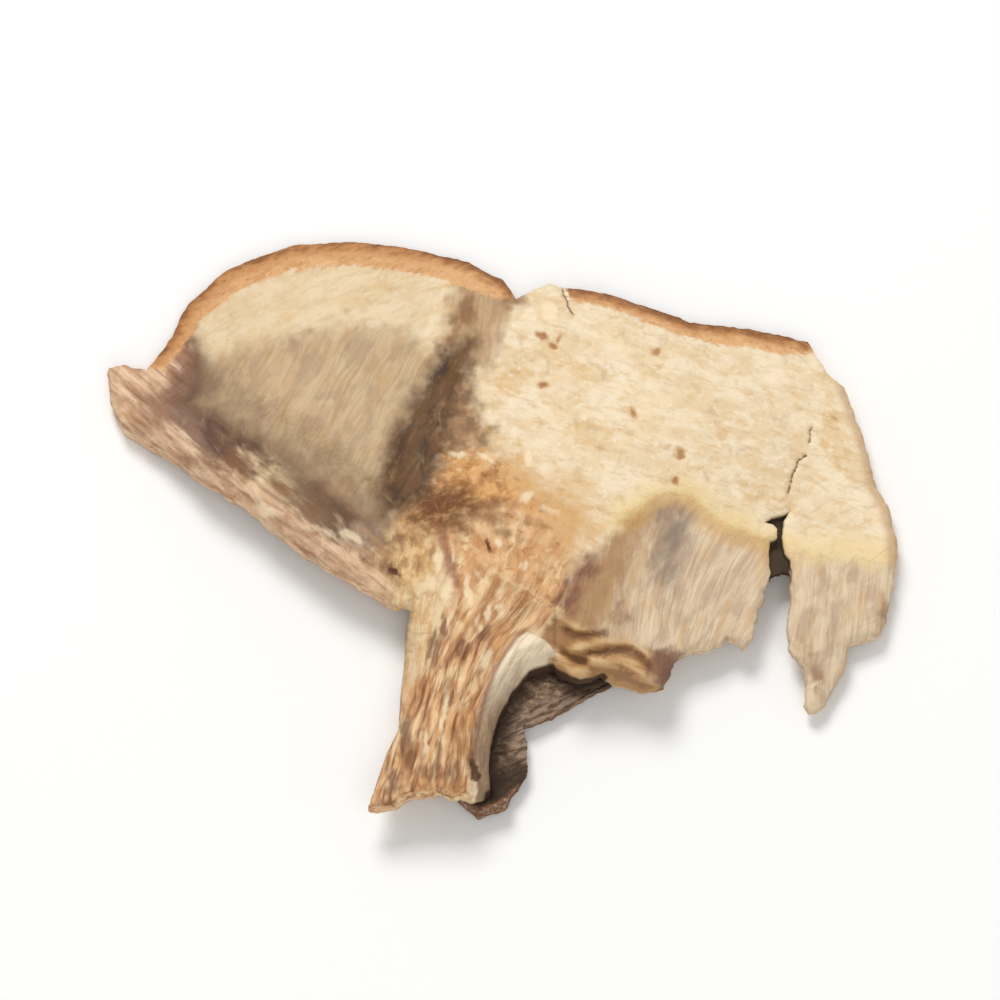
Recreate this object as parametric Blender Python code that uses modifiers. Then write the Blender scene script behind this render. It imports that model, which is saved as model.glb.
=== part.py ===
"""Dried porcini slice: one thin lengthwise section through cap and stem, curled by drying.

The slice lies on a table with its cut face up. +X runs across the cap, +Y from the foot of the
stem to the top of the cap and +Z points up. Its outlines are drawn as they are seen by somebody
who looks down at the slice from VIEW_TILT above the table, x to the right and y upwards, in steps
of SEEN_STEP. Each seen point is then set on the curled surface, which gives its place in metres.
"""

import math

import bmesh
import bpy
import numpy as np
from mathutils import Vector

MM = 0.001
SEEN_STEP = 0.18  # millimetres per step of the drawn outlines
VIEW_TILT = math.radians(65.0)

# Grid spacing of the two sheets, and the join distance that clears slivers, in millimetres
SHEET_GRID = 1.2
LEAF_GRID = 1.6
SLIVER = 0.16

# Droops of the upper surface from the crown, each with the seen distances where it starts and ends
CROWN_HEIGHT = 5.0
RIGHT_DROOP = 2.6
RIGHT_DROOP_SPAN = (7.0, 33.0)
LEFT_DROOP = 2.7
LEFT_DROOP_SPAN = (8.0, 31.0)
TOP_DROOP = 2.5
TOP_DROOP_SPAN = (5.0, 25.0)
TUBE_DROOP = 0.9
TUBE_DROOP_SPAN = (1.0, 12.0)
WARP = 0.25

# Stem: its rounding, and how far its left side curls down
STEM_ROUNDING = 0.7
STEM_HALF_WIDTH = 4.5
STEM_CURL = 4.0
STEM_CURL_WIDTH = 2.1
STEM_CURL_TOP = (4.2, 7.5)
STEM_CURL_FOOT = (-20.5, -15.5)

# Bevels, folds and steps of the upper surface: how high, and how wide
TUBE_STEP = 0.35
SKIN_BEVEL = 1.5
SKIN_BEVEL_WIDTH = 2.1
RIM_BEVEL = 1.3
RIM_BEVEL_WIDTH = 1.5
EDGE_ROUND = 0.35
EDGE_ROUND_WIDTH = 0.8
LIP_RISE = 1.0
LIP_HALF_WIDTH = 2.0
BRIDGE_RISE = 0.5
BRIDGE_HALF_WIDTH = 1.5
WING_SPAN = (8.5, 13.0)
WING_LIP_RISE = 0.8
WING_LIP_AT = 1.8
WING_LIP_HALF_WIDTH = 1.9
WING_VALLEY = 1.3
WING_VALLEY_AT = 6.0
WING_VALLEY_HALF_WIDTH = 3.2

# Thickness of the sheet, in millimetres
FLESH_THICKNESS = 2.7
TUBE_THICKNESS = 1.5
STEM_THICKNESS = 1.7
WING_THICKNESS = 2.0
LEAF_THICKNESS = 1.3
THINNEST = 0.9

# Leaf under the stem: the lip at its foot, and the rounding below its edge
LEAF_LIP_RISE = 0.9
LEAF_LIP_HALF_WIDTH = 1.2
LEAF_ROUND = 0.5
LEAF_ROUND_WIDTH = 0.7

# Outer edge of the cap skin, from the hidden left end over the crown to the right end
SKIN_EDGE = [
    (-150, 85), (-145, 92), (-137, 108), (-120, 124), (-92, 135), (-62, 137), (-32, 133),
    (-10, 127), (5, 119), (11, 111), (26, 118), (32, 116), (51, 113), (70, 107), (90, 100),
    (115, 97), (142, 91),
]

# Right end of the cap, and the flap of tubes that hangs beside the slot
RIGHT_EDGE = [
    (145, 86), (150, 77), (158, 70), (162, 57), (166, 46), (170, 26), (175, 18), (178, 5),
    (178.5, -3), (177, -17), (174, -32), (170, -39.5), (157, -43), (155, -54), (150, -62),
    (145, -70), (140, -72), (138, -69), (139, -60), (138, -53), (132, -45), (131, -35),
    (133, -25), (133, -13),
]

# Slot that splits the tubes: up its right side, round its head and down its left side
SLOT_EDGE = [(129, 0), (130.5, 7), (133.5, 12), (128, 15.5), (120, 13), (124, 7), (124.5, 0), (123, -12)]

# Torn lower edge of the tubes, up to the curled lip beside the stem
TUBE_EDGE = [
    (120, -19), (117, -30), (114, -41), (110, -45), (104, -39), (100, -43), (87, -46),
    (79, -50), (77.5, -55), (75, -61), (68, -62), (59, -59), (50, -55), (39, -57), (30, -53),
]

# Cut rim on the right side of the stem, from the lip to the foot
STEM_RIM = [(25, -50), (16, -53), (8, -63), (3, -73), (0, -83), (-1.5, -95), (-1, -104)]

# Foot of the stem, and its left side from the pointed corner up to the cap
STEM_FOOT = [(-6, -106), (-16, -106.5), (-22, -104.5), (-38, -106.5), (-43, -111), (-54, -113)]
STEM_LEFT = [(-51, -106), (-46, -91), (-41, -81), (-40, -65), (-38.5, -51), (-38, -38), (-36, -29)]

# Lower edge of the left half of the cap, out to its rounded end
WING_EDGE = [
    (-51, -20.5), (-58, -17), (-77, -6), (-95, 7), (-109, 18), (-129, 30), (-148, 43),
    (-165, 53), (-171, 66), (-172, 79), (-165, 80.5), (-155, 78),
]

SHEET_OUTLINE = (
    SKIN_EDGE + RIGHT_EDGE + SLOT_EDGE + TUBE_EDGE + STEM_RIM + STEM_FOOT + STEM_LEFT + WING_EDGE
)

# Leaf that the stem rolls under itself, from its foot round to its hidden upper end
LEAF_OUTLINE = [
    (-30, -98), (-16, -107), (-6, -116), (5, -112), (12, -106), (16, -97), (15, -85), (14, -79),
    (26, -75), (40, -67), (56, -59), (62, -50), (50, -38), (20, -32), (-15, -34), (-32, -44),
    (-35, -65), (-36.5, -86),
]

# Where the tubes meet the flesh, right of the stem and left of it
TUBES_RIGHT = [
    (29, -26), (42, -9), (52, 2), (64, 15), (77, 20), (92, 20), (99, 9), (108, 5), (122, -1),
    (131, -6), (155, -7), (179, -7), (185, -45), (140, -80), (70, -70), (30, -55),
]
TUBES_LEFT = [
    (-16, 76), (-28, 62), (-36, 40), (-43, 15), (-60, 3), (-90, 15), (-115, 32), (-140, 50),
    (-150, 68), (-130, 78), (-100, 90), (-60, 95), (-30, 90),
]

# Crest of the curled lip beside the stem, and of the diagonal bridge above it
LIP_CREST = [(36, -44), (50, -48), (65, -53), (73, -55)]
BRIDGE_CREST = [(-2, -8), (12, -18), (26, -27), (40, -36)]
STEM_AXIS = [(-24, -112), (-18, -70), (-8, -25), (-4, 0)]
LEAF_LIP = [(-14, -110), (-6, -115), (5, -111)]


def ramp(value, start, end):
    """Goes straight from 0 at start to 1 at end."""
    return np.clip((value - start) / (end - start), 0.0, 1.0)


def smooth(value, start, end):
    """Goes from 0 at start to 1 at end without a kink."""
    part = ramp(value, start, end)
    return part * part * (3.0 - 2.0 * part)


def in_millimetres(line):
    """The drawn line in millimetres, still as it is seen."""
    return np.array(line, float) * SEEN_STEP


def distance_to(points, line, closed=False):
    """How far each seen point is from a drawn line, in millimetres."""
    ends = in_millimetres(line)
    if closed:
        ends = np.vstack([ends, ends[:1]])
    nearest = np.full(len(points), np.inf)
    for start, end in zip(ends[:-1], ends[1:]):
        along = end - start
        part = np.clip((points - start) @ along / (along @ along), 0.0, 1.0)
        gap = points - start - part[:, None] * along
        nearest = np.minimum(nearest, np.hypot(gap[:, 0], gap[:, 1]))
    return nearest


def inside(points, outline):
    """Which seen points lie within a closed drawn outline."""
    corners = in_millimetres(outline)
    x, y = points[:, 0], points[:, 1]
    within = np.zeros(len(points), bool)
    for (x0, y0), (x1, y1) in zip(corners, np.roll(corners, -1, axis=0)):
        crosses = (y0 > y) != (y1 > y)
        if y0 != y1:
            within ^= crosses & (x < x0 + (y - y0) * (x1 - x0) / (y1 - y0))
    return within


def zone(points, outline, softness=0.8):
    """1 deep inside a closed drawn outline, 0 well outside it, with a soft border."""
    gap = distance_to(points, outline, closed=True)
    signed = np.where(inside(points, outline), gap, -gap)
    return smooth(signed, -softness, softness)


def crest(distance, half_width):
    """1 on a crest line, 0 from half a width away, with a rounded top."""
    return 1.0 - smooth(distance, 0.0, half_width)


def stem_part(points):
    """1 on the stem, 0 on the cap."""
    return smooth(-points[:, 1], 0.0, 5.0) * (points[:, 0] < 5.0)


def broad_height(points):
    """Upper surface of the sheet without its bevelled edges and folds."""
    x, y = points[:, 0], points[:, 1]
    height = np.full(len(points), CROWN_HEIGHT)
    height -= RIGHT_DROOP * smooth(x, *RIGHT_DROOP_SPAN)
    height -= LEFT_DROOP * smooth(-x, *LEFT_DROOP_SPAN)
    height -= TOP_DROOP * smooth(y, *TOP_DROOP_SPAN) * (1.0 - 0.4 * smooth(np.abs(x), 12.0, 30.0))
    height -= TUBE_DROOP * smooth(-y, *TUBE_DROOP_SPAN) * smooth(x, 5.0, 11.0)
    across = distance_to(points, STEM_AXIS)
    height -= STEM_ROUNDING * stem_part(points) * smooth(across, 0.0, STEM_HALF_WIDTH)
    bend = np.clip(1.0 - distance_to(points, STEM_LEFT) / STEM_CURL_WIDTH, 0.0, 1.0)
    curl = 1.0 - np.sqrt(1.0 - 0.97 * bend * bend)
    height -= STEM_CURL * curl * smooth(-y, *STEM_CURL_TOP) * smooth(y, *STEM_CURL_FOOT)
    return height + WARP * (
        np.sin(0.33 * x + 0.21 * y + 1.0) + np.sin(0.27 * y - 0.19 * x + 2.0)
    )


def folds(points):
    """What the lips, valleys and bevelled edges add to the upper surface."""
    rise = -TUBE_STEP * (zone(points, TUBES_RIGHT) + zone(points, TUBES_LEFT))
    rise += LIP_RISE * crest(distance_to(points, LIP_CREST), LIP_HALF_WIDTH)
    rise += BRIDGE_RISE * crest(distance_to(points, BRIDGE_CREST), BRIDGE_HALF_WIDTH)
    from_wing = distance_to(points, WING_EDGE)
    on_wing = smooth(-points[:, 0], *WING_SPAN)
    rise += WING_LIP_RISE * on_wing * crest(np.abs(from_wing - WING_LIP_AT), WING_LIP_HALF_WIDTH)
    rise -= WING_VALLEY * on_wing * crest(np.abs(from_wing - WING_VALLEY_AT), WING_VALLEY_HALF_WIDTH)
    rise -= SKIN_BEVEL * (1.0 - ramp(distance_to(points, SKIN_EDGE), 0.0, SKIN_BEVEL_WIDTH))
    rise -= RIM_BEVEL * (1.0 - ramp(distance_to(points, STEM_RIM), 0.0, RIM_BEVEL_WIDTH))
    from_edge = distance_to(points, SHEET_OUTLINE, closed=True)
    return rise - EDGE_ROUND * (1.0 - ramp(from_edge, 0.0, EDGE_ROUND_WIDTH))


def thickness(points):
    """Thickness of the sheet before its edges are bevelled."""
    thick = np.full(len(points), FLESH_THICKNESS)
    thick += (TUBE_THICKNESS - FLESH_THICKNESS) * zone(points, TUBES_RIGHT, 2.6)
    thick += (WING_THICKNESS - FLESH_THICKNESS) * smooth(-points[:, 0], *WING_SPAN)
    return thick + (STEM_THICKNESS - thick) * stem_part(points)


def on_table(points, height):
    """Places of seen points that lie at a height, in millimetres on the table."""
    along = (points[:, 1] - height * math.cos(VIEW_TILT)) / math.sin(VIEW_TILT)
    return np.column_stack([points[:, 0], along, height])


def sheet_places(points, upper):
    """Places of the upper or the lower surface of the sheet over its seen points."""
    broad = broad_height(points)
    if upper:
        return on_table(points, np.maximum(broad + folds(points), THINNEST))
    nudge = 0.05
    right = points + np.array([nudge, 0.0])
    back = points + np.array([0.0, nudge])
    place = on_table(points, broad)
    normal = np.cross(
        on_table(right, broad_height(right)) - place, on_table(back, broad_height(back)) - place
    )
    normal /= np.linalg.norm(normal, axis=1)[:, None]
    place -= thickness(points)[:, None] * normal
    place[:, 2] = np.maximum(place[:, 2], 0.0)
    return place


def leaf_places(points, upper):
    """Places of the upper or the lower surface of the leaf rolled under the stem."""
    rise = LEAF_LIP_RISE * crest(distance_to(points, LEAF_LIP), LEAF_LIP_HALF_WIDTH)
    top = on_table(points, LEAF_THICKNESS + rise)
    if upper:
        return top
    from_edge = distance_to(points, LEAF_OUTLINE, closed=True)
    right_of_stem = smooth(points[:, 0], -5.0, -3.0)
    top[:, 2] = LEAF_ROUND * crest(from_edge, LEAF_ROUND_WIDTH) * right_of_stem
    return top


def collection(name, parent=None):
    """A new collection under another one, or under the scene."""
    made = bpy.data.collections.new(name)
    (parent or bpy.context.scene.collection).children.link(made)
    return made


def outline_cutter(name, outline, depth, home):
    """A closed drawn outline as an upright block, for cutting the flat sheet."""
    curve = bpy.data.curves.new(name, "CURVE")
    curve.dimensions = "2D"
    curve.fill_mode = "BOTH"
    curve.extrude = depth
    spline = curve.splines.new("POLY")
    corners = in_millimetres(outline) * MM
    spline.points.add(len(corners) - 1)
    for point, (x, y) in zip(spline.points, corners):
        point.co = (x, y, 0.0, 1.0)
    spline.use_cyclic_u = True
    drawn = bpy.data.objects.new(name + "_drawn", curve)
    home.objects.link(drawn)
    bpy.context.view_layer.update()
    mesh = bpy.data.meshes.new_from_object(drawn)
    bpy.data.objects.remove(drawn)
    work = bmesh.new()
    work.from_mesh(mesh)
    bmesh.ops.remove_doubles(work, verts=work.verts, dist=1e-6)
    bmesh.ops.recalc_face_normals(work, faces=work.faces)
    work.to_mesh(mesh)
    work.free()
    cutter = bpy.data.objects.new(name, mesh)
    home.objects.link(cutter)
    cutter.hide_render = True
    cutter.display_type = "WIRE"
    return cutter


def flat_grid(name, outline, grid, home):
    """A flat sheet of square facets that is a little larger than the outline."""
    corners = in_millimetres(outline)
    low = corners.min(axis=0) - 0.7 * grid
    cells = np.ceil((corners.max(axis=0) + 0.3 * grid - low) / grid).astype(int)
    work = bmesh.new()
    bmesh.ops.create_grid(work, x_segments=int(cells[0]), y_segments=int(cells[1]), size=0.5)
    for vertex in work.verts:
        vertex.co.x = (low[0] + (vertex.co.x + 0.5) * cells[0] * grid) * MM
        vertex.co.y = (low[1] + (vertex.co.y + 0.5) * cells[1] * grid) * MM
    mesh = bpy.data.meshes.new(name)
    work.to_mesh(mesh)
    work.free()
    sheet = bpy.data.objects.new(name, mesh)
    home.objects.link(sheet)
    return sheet


def curled_sheet(name, outline, grid, places, home, cutters):
    """A solid sheet cut to the outline, with both of its surfaces set on their places."""
    sheet = flat_grid(name, outline, grid, home)
    solid = sheet.modifiers.new("thickness", "SOLIDIFY")
    solid.thickness = 1.0 * MM
    solid.offset = 0.0
    cut = sheet.modifiers.new("outline", "BOOLEAN")
    cut.operation = "INTERSECT"
    cut.solver = "EXACT"
    cut.object = outline_cutter(name + "_outline", outline, 3.0 * MM, cutters)
    bpy.context.view_layer.update()
    graph = bpy.context.evaluated_depsgraph_get()
    cut_mesh = bpy.data.meshes.new_from_object(sheet.evaluated_get(graph))
    sheet.modifiers.clear()
    sheet.data = cut_mesh
    work = bmesh.new()
    work.from_mesh(cut_mesh)
    bmesh.ops.remove_doubles(work, verts=work.verts, dist=SLIVER * MM)
    bmesh.ops.triangulate(work, faces=work.faces, quad_method="SHORT_EDGE", ngon_method="BEAUTY")
    flat = np.array([vertex.co for vertex in work.verts])
    points = flat[:, :2] / MM
    placed = np.where(flat[:, 2:] > 0.0, places(points, True), places(points, False)) * MM
    for vertex, place in zip(work.verts, placed):
        vertex.co = place
    bmesh.ops.recalc_face_normals(work, faces=work.faces)
    work.to_mesh(cut_mesh)
    work.free()
    return sheet


def centre_on_origin(sheets):
    """Moves the sheets together, so that the box around them stands centred on the origin."""
    corners = np.array([vertex.co for sheet in sheets for vertex in sheet.data.vertices])
    low = corners.min(axis=0)
    high = corners.max(axis=0)
    shift = -np.array([(low[0] + high[0]) / 2.0, (low[1] + high[1]) / 2.0, low[2]])
    for sheet in sheets:
        for vertex in sheet.data.vertices:
            vertex.co += Vector(shift)


def dried_flesh():
    """Dull cream flesh of the dried slice."""
    material = bpy.data.materials.new("dried_flesh")
    material.use_nodes = True
    shader = material.node_tree.nodes["Principled BSDF"]
    shader.inputs["Base Color"].default_value = (0.72, 0.53, 0.34, 1.0)
    shader.inputs["Roughness"].default_value = 0.85
    shader.inputs["Metallic"].default_value = 0.0
    return material


def build():
    """Makes the slice: the sheet of cap and stem joined with the leaf rolled under the stem."""
    for old in list(bpy.data.objects):
        bpy.data.objects.remove(old)
    home = collection("porcini_mushroom")
    cutters = collection("cutters", home)
    cutters.hide_render = True
    piece = curled_sheet("porcini_slice", SHEET_OUTLINE, SHEET_GRID, sheet_places, home, cutters)
    leaf = curled_sheet("rolled_leaf", LEAF_OUTLINE, LEAF_GRID, leaf_places, cutters, cutters)
    leaf.hide_render = True
    leaf.display_type = "WIRE"
    joined = piece.modifiers.new("rolled leaf", "BOOLEAN")
    joined.operation = "UNION"
    joined.solver = "EXACT"
    joined.object = leaf
    centre_on_origin([piece, leaf])
    piece.data.materials.append(dried_flesh())


build()
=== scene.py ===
"""Finished look of one dried porcini slice, lying on a pale table.

The slice is a thin section through cap and stem that has curled in drying. Its lines are drawn as
they are seen by somebody who looks down from VIEW_TILT above the table, x to the right and y
upwards, in steps of SEEN_STEP millimetres, and each point is then set on the curled surface.
"""

from __future__ import annotations

import logging
import math
from dataclasses import dataclass, field
from enum import Enum
from typing import Any, Callable, Union

import bpy
import numpy as np
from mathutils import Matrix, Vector
from mathutils.geometry import delaunay_2d_cdt


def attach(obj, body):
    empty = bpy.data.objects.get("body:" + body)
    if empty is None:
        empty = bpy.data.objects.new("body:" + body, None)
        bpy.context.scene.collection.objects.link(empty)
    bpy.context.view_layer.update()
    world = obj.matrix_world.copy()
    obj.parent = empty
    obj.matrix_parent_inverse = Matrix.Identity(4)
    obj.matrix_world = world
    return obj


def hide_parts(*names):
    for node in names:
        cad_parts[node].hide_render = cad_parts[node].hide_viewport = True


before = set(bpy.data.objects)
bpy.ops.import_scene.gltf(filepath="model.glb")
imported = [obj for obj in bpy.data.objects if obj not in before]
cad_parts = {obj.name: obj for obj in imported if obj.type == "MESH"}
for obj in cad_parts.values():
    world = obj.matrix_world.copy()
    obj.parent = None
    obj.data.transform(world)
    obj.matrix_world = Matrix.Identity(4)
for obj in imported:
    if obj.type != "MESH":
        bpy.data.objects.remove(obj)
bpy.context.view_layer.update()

LOG = logging.getLogger("porcini")

MM = 0.001  # in metres
SEEN_STEP = 0.18  # millimetres per step of the drawn lines
MARK_SHAKE = 0.17  # how far the outlines of small marks are shaken, in mm
TABLE_GAP = 0.00005  # how far the table top lies below the slice, in metres
VIEW_TILT = math.radians(65.0)
TABLE_SHIFT = np.array([-0.6515, -1.2891, 0.0])  # from the drawing's origin to the part's, in mm

Line = list[tuple[float, float]]
Colour = tuple[int, int, int]

# Outer edge of the cap skin, from the hidden left end over the crown to the right end
SKIN_EDGE: Line = [
    (-150, 85), (-145, 92), (-137, 108), (-120, 124), (-92, 135), (-62, 137), (-32, 133),
    (-10, 127), (5, 119), (11, 111), (26, 118), (32, 116), (51, 113), (70, 107), (90, 100),
    (115, 97), (142, 91),
]

# Right end of the cap, and the flap of tubes that hangs beside the slot
RIGHT_EDGE: Line = [
    (145, 86), (150, 77), (158, 70), (162, 57), (166, 46), (170, 26), (175, 18), (178, 5),
    (178.5, -3), (177, -17), (174, -32), (170, -39.5),
]
FLAP_EDGE: Line = [
    (157, -43), (155, -54), (150, -62), (145, -70), (140, -72), (138, -69), (139, -60),
    (138, -53), (132, -45), (131, -35), (133, -25), (133, -13),
]

# Slot that splits the tubes beside the flap, and the torn tissue that closes its upper part below
SLOT_EDGE: Line = [
    (132.4, -6), (129.8, -3), (129.2, 2), (129.2, 7.4), (130.6, 11), (133, 15.6), (128.6, 14),
    (124, 13), (120.4, 10), (124.4, 8.6), (126.4, 7), (126.2, 3.6), (123, 2), (122.4, -4), (123, -12),
]
SLOT_FLOOR: Line = [
    (118, 22), (117, -4), (119, -16), (122.4, -14), (125, -12.4), (128, -11.8), (131, -12.6),
    (134, -14.6), (137, -16), (139, -4), (138, 22),
]
SLOT_DEPTHS: list[Line] = [
    [(124.6, -14), (124.6, 14)], [(127.6, -14), (127.6, 15)], [(130.6, -14), (130.6, 16)],
]

# Torn lower edge of the tubes, up to the curled lip beside the stem
TUBE_EDGE: Line = [
    (120, -19), (117, -30), (114, -41), (110, -45), (104, -39), (100, -43), (87, -46),
    (79, -50), (77.5, -55), (75, -61), (68, -62), (59, -59), (50, -55), (39, -57), (30, -53),
]
TAPERED_TUBES: Line = TUBE_EDGE[:11]

# Cut rim on the right side of the stem, from the lip to the foot
STEM_RIM: Line = [(25, -50), (16, -53), (8, -63), (3, -73), (0, -83), (-1.5, -95), (-1, -104)]

# Foot of the stem, and its left side from the pointed corner up to the cap
STEM_FOOT: Line = [(-6, -106), (-16, -106.5), (-22, -104.5), (-38, -106.5), (-43, -111), (-54, -113)]
STEM_LEFT: Line = [
    (-51, -106), (-46, -91), (-41, -81), (-40, -65), (-38.5, -51), (-38, -38), (-36, -29),
]

# Lower edge of the left half of the cap, out to its rounded end
WING_EDGE: Line = [
    (-51, -20.5), (-58, -17), (-77, -6), (-95, 7), (-109, 18), (-129, 30), (-148, 43),
    (-165, 53), (-171, 66), (-172, 79), (-165, 80.5), (-155, 78),
]

# Leaf that the stem rolls under itself, from its foot round to its hidden upper end
LEAF_EDGE: Line = [
    (-30, -98), (-16, -107), (-6, -116), (5, -112), (12, -106), (16, -97), (15, -85), (14, -79),
    (26, -75), (40, -67), (56, -59), (62, -50), (50, -38), (20, -32), (-15, -34), (-32, -44),
    (-35, -65), (-36.5, -86),
]

# Fields of the cut face. Each reaches past the edge where the tissue runs out to it
SKIN: Line = [
    (-165, 82), (-160, 110), (-130, 140), (-92, 150), (-60, 152), (-28, 148), (4, 134), (12, 122),
    (8, 111), (1, 111), (-12, 116), (-33, 122), (-62, 126), (-90, 124), (-114, 115), (-130, 102),
    (-139, 89), (-147, 78),
]
SKIN_RIGHT: Line = [
    (32, 130), (60, 128), (100, 116), (146, 102), (147, 86), (131, 85), (118, 88.5), (103, 89),
    (85, 94), (66, 101), (51, 107), (34, 110),
]
TUBE_TOP: Line = [(60, 12), (73, 19), (82, 20.5), (89, 18), (95, 12), (103, 7.5), (112, 4), (122, -1)]
FLAP_TOP: Line = [(131, -6), (143, -8), (155, -7), (168, -10), (179, -9)]
TUBES_RIGHT: Line = [
    (29, -26), (42, -9), (52, 2), (64, 14), *TUBE_TOP[1:], *FLAP_TOP, (185, -45), (140, -80),
    (70, -70), (30, -55),
]
TUBES_LEFT: Line = [
    (-20, 82), (-26, 66), (-32, 48), (-38, 26), (-46, 8), (-60, 3), (-90, 15), (-115, 32),
    (-140, 50), (-150, 68), (-132, 80), (-100, 92), (-66, 98), (-38, 94),
]
# Dark crescent beside the stem's root, partly dark tissue and partly painted shadow of a neighbouring
# slice
CRESCENT: Line = [
    (-6, 94), (-11, 78), (-16, 64), (-20, 50), (-22, 36), (-28, 24), (-36, 13), (-49, 12),
    (-53, 24), (-48, 40), (-42, 54), (-33, 70), (-22, 88),
]
BRUISE: Line = [
    (-20, 80), (-9, 76), (-7, 62), (-1, 52), (-3, 45), (-14, 42), (-27, 40), (-26, 60),
]
GLOW: Line = [
    (-24, 44), (-8, 52), (10, 46), (28, 36), (44, 24), (54, 10), (46, -6), (20, -30), (-10, -20),
    (-30, 0),
]
# Strip of flesh at the crown's upper left, painted grey brown as the shadow of a neighbouring slice
SHADOW_STRIP: Line = [
    (-22, 80), (-3, 76), (3, 88), (6, 100), (14, 110), (6, 124), (-8, 130), (-21, 108),
]
STREAKED: Line = [
    (-21.5, 14), (-22, 6), (-20, -3), (-16, -16), (-16, -22), (-20, -36), (-27, -50), (-44, -66),
    (-62, -118), (-43, -118), (-8, -112), (-7.5, -93), (-7, -84), (-5, -74), (1.6, -55), (10.4, -41),
    (22, -36), (31, -28), (33, -8), (30, 4), (16, 14), (0, 18),
]
STEM_PALE: Line = [
    (-46, 8), (-30, 6), (-23, 4), (-20, -6), (-16, -18), (-19, -34), (-26, -50), (-36, -66),
    (-50, -60), (-50, -30), (-54, -18),
]
OCHRE_PATCH: Line = [(-52, 4), (-30, 8), (-25, -2), (-27, -14), (-36, -20), (-48, -12), (-54, -4)]
RIM_FACE: Line = [
    (10.4, -41), (1.6, -55), (-5, -74), (-7, -84), (-7.5, -93), (-6, -108), (4, -108), (4, -84),
    (12, -64), (20, -52), (29, -48), (24, -42), (16, -38),
]
ROOT: Line = [
    (-34, 24), (-26, 34), (-20, 44), (-6, 40), (8, 30), (20, 16), (24, 4), (8, -2), (-12, 0),
    (-26, 5), (-40, 3), (-47, 9), (-42, 17),
]
ROOT_DARK: Line = [
    (-35, 20), (-26, 28), (-10, 27), (-5, 16), (-12, 7), (-26, 6), (-36, 8),
]
LIP_FACE: Line = [
    (28, -30), (42, -37), (60, -43), (76, -46), (84, -56), (78, -66), (60, -64), (36, -62), (24, -50),
    (22, -38),
]
LIP_END: Line = [(70, -45), (84, -45), (84, -66), (73, -66), (70, -56)]
PURPLE: Line = [(27, -26), (34, -12), (42, -4), (48, -10), (40, -20), (34, -31)]
SHADOW: Line = [(74, 15), (82, 18), (88, 10), (84, -6), (78, -16), (72, -14), (74, 0)]
# Line along the cap's right edge, where painted shade darkens the flesh
RIGHT_SHADE_LINE: Line = [*RIGHT_EDGE[2:8], (178, -5)]

# Crests, and the creases and cracks that the mesh follows closely
LIP_CREST: Line = [(36, -44), (50, -48), (65, -53), (73, -55)]
BRIDGE_CREST: Line = [(-2, -8), (12, -18), (26, -27), (40, -36)]
STEM_AXIS: Line = [(-24, -112), (-18, -70), (-8, -25), (-4, 0)]
LEAF_LIP: Line = [(-14, -110), (-6, -115), (5, -111)]
LEAF_FOOT: Line = LEAF_EDGE[:5]
LEAF_SIDE: Line = LEAF_EDGE[4:11]
FOLDS: list[Line] = [
    [(31, -30), (35, -33), (40, -35), (45, -35.4), (50, -36), (55, -38)],
    [(34, -45.6), (40, -44), (46, -42.3), (53, -41), (59.5, -40.8), (64, -44), (69, -48)],
    [(44, -50.4), (50.5, -50.8), (56, -51), (60, -52.4), (65, -56), (72, -59.5)],
    [(26, -46), (30, -51), (35, -54.6), (41, -55.6)],
]
CREASES: list[Line] = [
    [(32.6, -37), (36, -39.4), (41, -39.3), (46, -39.2), (50, -38.7)],
    [(42.6, -46.6), (48, -47), (56, -45.8), (62, -45.7), (66, -49), (69, -53)],
    [(31.4, -47), (36, -49), (41.4, -50.6)],
]
CRACKS: list[Line] = [
    [(131.5, 23), (132.9, 27.5), (133.6, 31), (135.5, 34.5), (136.4, 37.6), (138.3, 38.4), (140.2, 40)],
    [(141.4, 45.3), (142.2, 48), (141.7, 50), (142.9, 52.4)],
    [(31.5, 116), (32.2, 112.6), (33.6, 109.8), (34.2, 106.8), (36.7, 103)],
]
STEM_BORDER: Line = [(-22.5, 9), (-22, 4), (-20, -4), (-17.4, -12), (-16.4, -17)]
RIM_BORDER: Line = [
    (14, -37), (10.4, -41), (5.6, -47.6), (1.6, -55), (-2, -64), (-5, -74), (-7, -84), (-7.6, -93),
]
PALE_FIBRE: Line = [(0.5, -11.5), (8, -16), (16, -19.6), (24, -24.6), (31.3, -29)]
STEM_FLOW_LEFT: Line = [(-57, -120), (-41, -70), (-37, -35), (-30, 0), (-40, 40)]
STEM_FLOW_RIGHT: Line = [(-4, -120), (-2, -72), (14, -42), (34, -22), (44, 0), (70, 40)]


def ramp(value: np.ndarray, start: float, end: float) -> np.ndarray:
    """Goes straight from 0 at start to 1 at end."""
    return np.clip((value - start) / (end - start), 0.0, 1.0)


def smooth(value: np.ndarray, start: float, end: float) -> np.ndarray:
    """Goes from 0 at start to 1 at end without a kink."""
    part = ramp(value, start, end)
    return part * part * (3.0 - 2.0 * part)


def crest(distance: np.ndarray, half_width: float) -> np.ndarray:
    """1 on a crest line, 0 from half a width away, with a rounded top."""
    return 1.0 - smooth(distance, 0.0, half_width)


def in_millimetres(line: Line) -> np.ndarray:
    """The drawn line in millimetres, still as it is seen."""
    return np.array(line, float) * SEEN_STEP


def distance_to(points: np.ndarray, line: Line, closed: bool = False) -> np.ndarray:
    """Measures how far seen points are from a drawn line.

    Args:
        points: Seen points in millimetres, one a row.
        line: The drawn line.
        closed: Whether the line returns to its first point.

    Returns:
        The distances in millimetres.
    """
    ends = in_millimetres(line)
    if closed:
        ends = np.vstack([ends, ends[:1]])
    nearest = np.full(len(points), np.inf)
    for start, end in zip(ends[:-1], ends[1:]):
        along = end - start
        part = np.clip((points - start) @ along / (along @ along), 0.0, 1.0)
        gap = points - start - part[:, None] * along
        nearest = np.minimum(nearest, np.hypot(gap[:, 0], gap[:, 1]))
    return nearest


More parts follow.
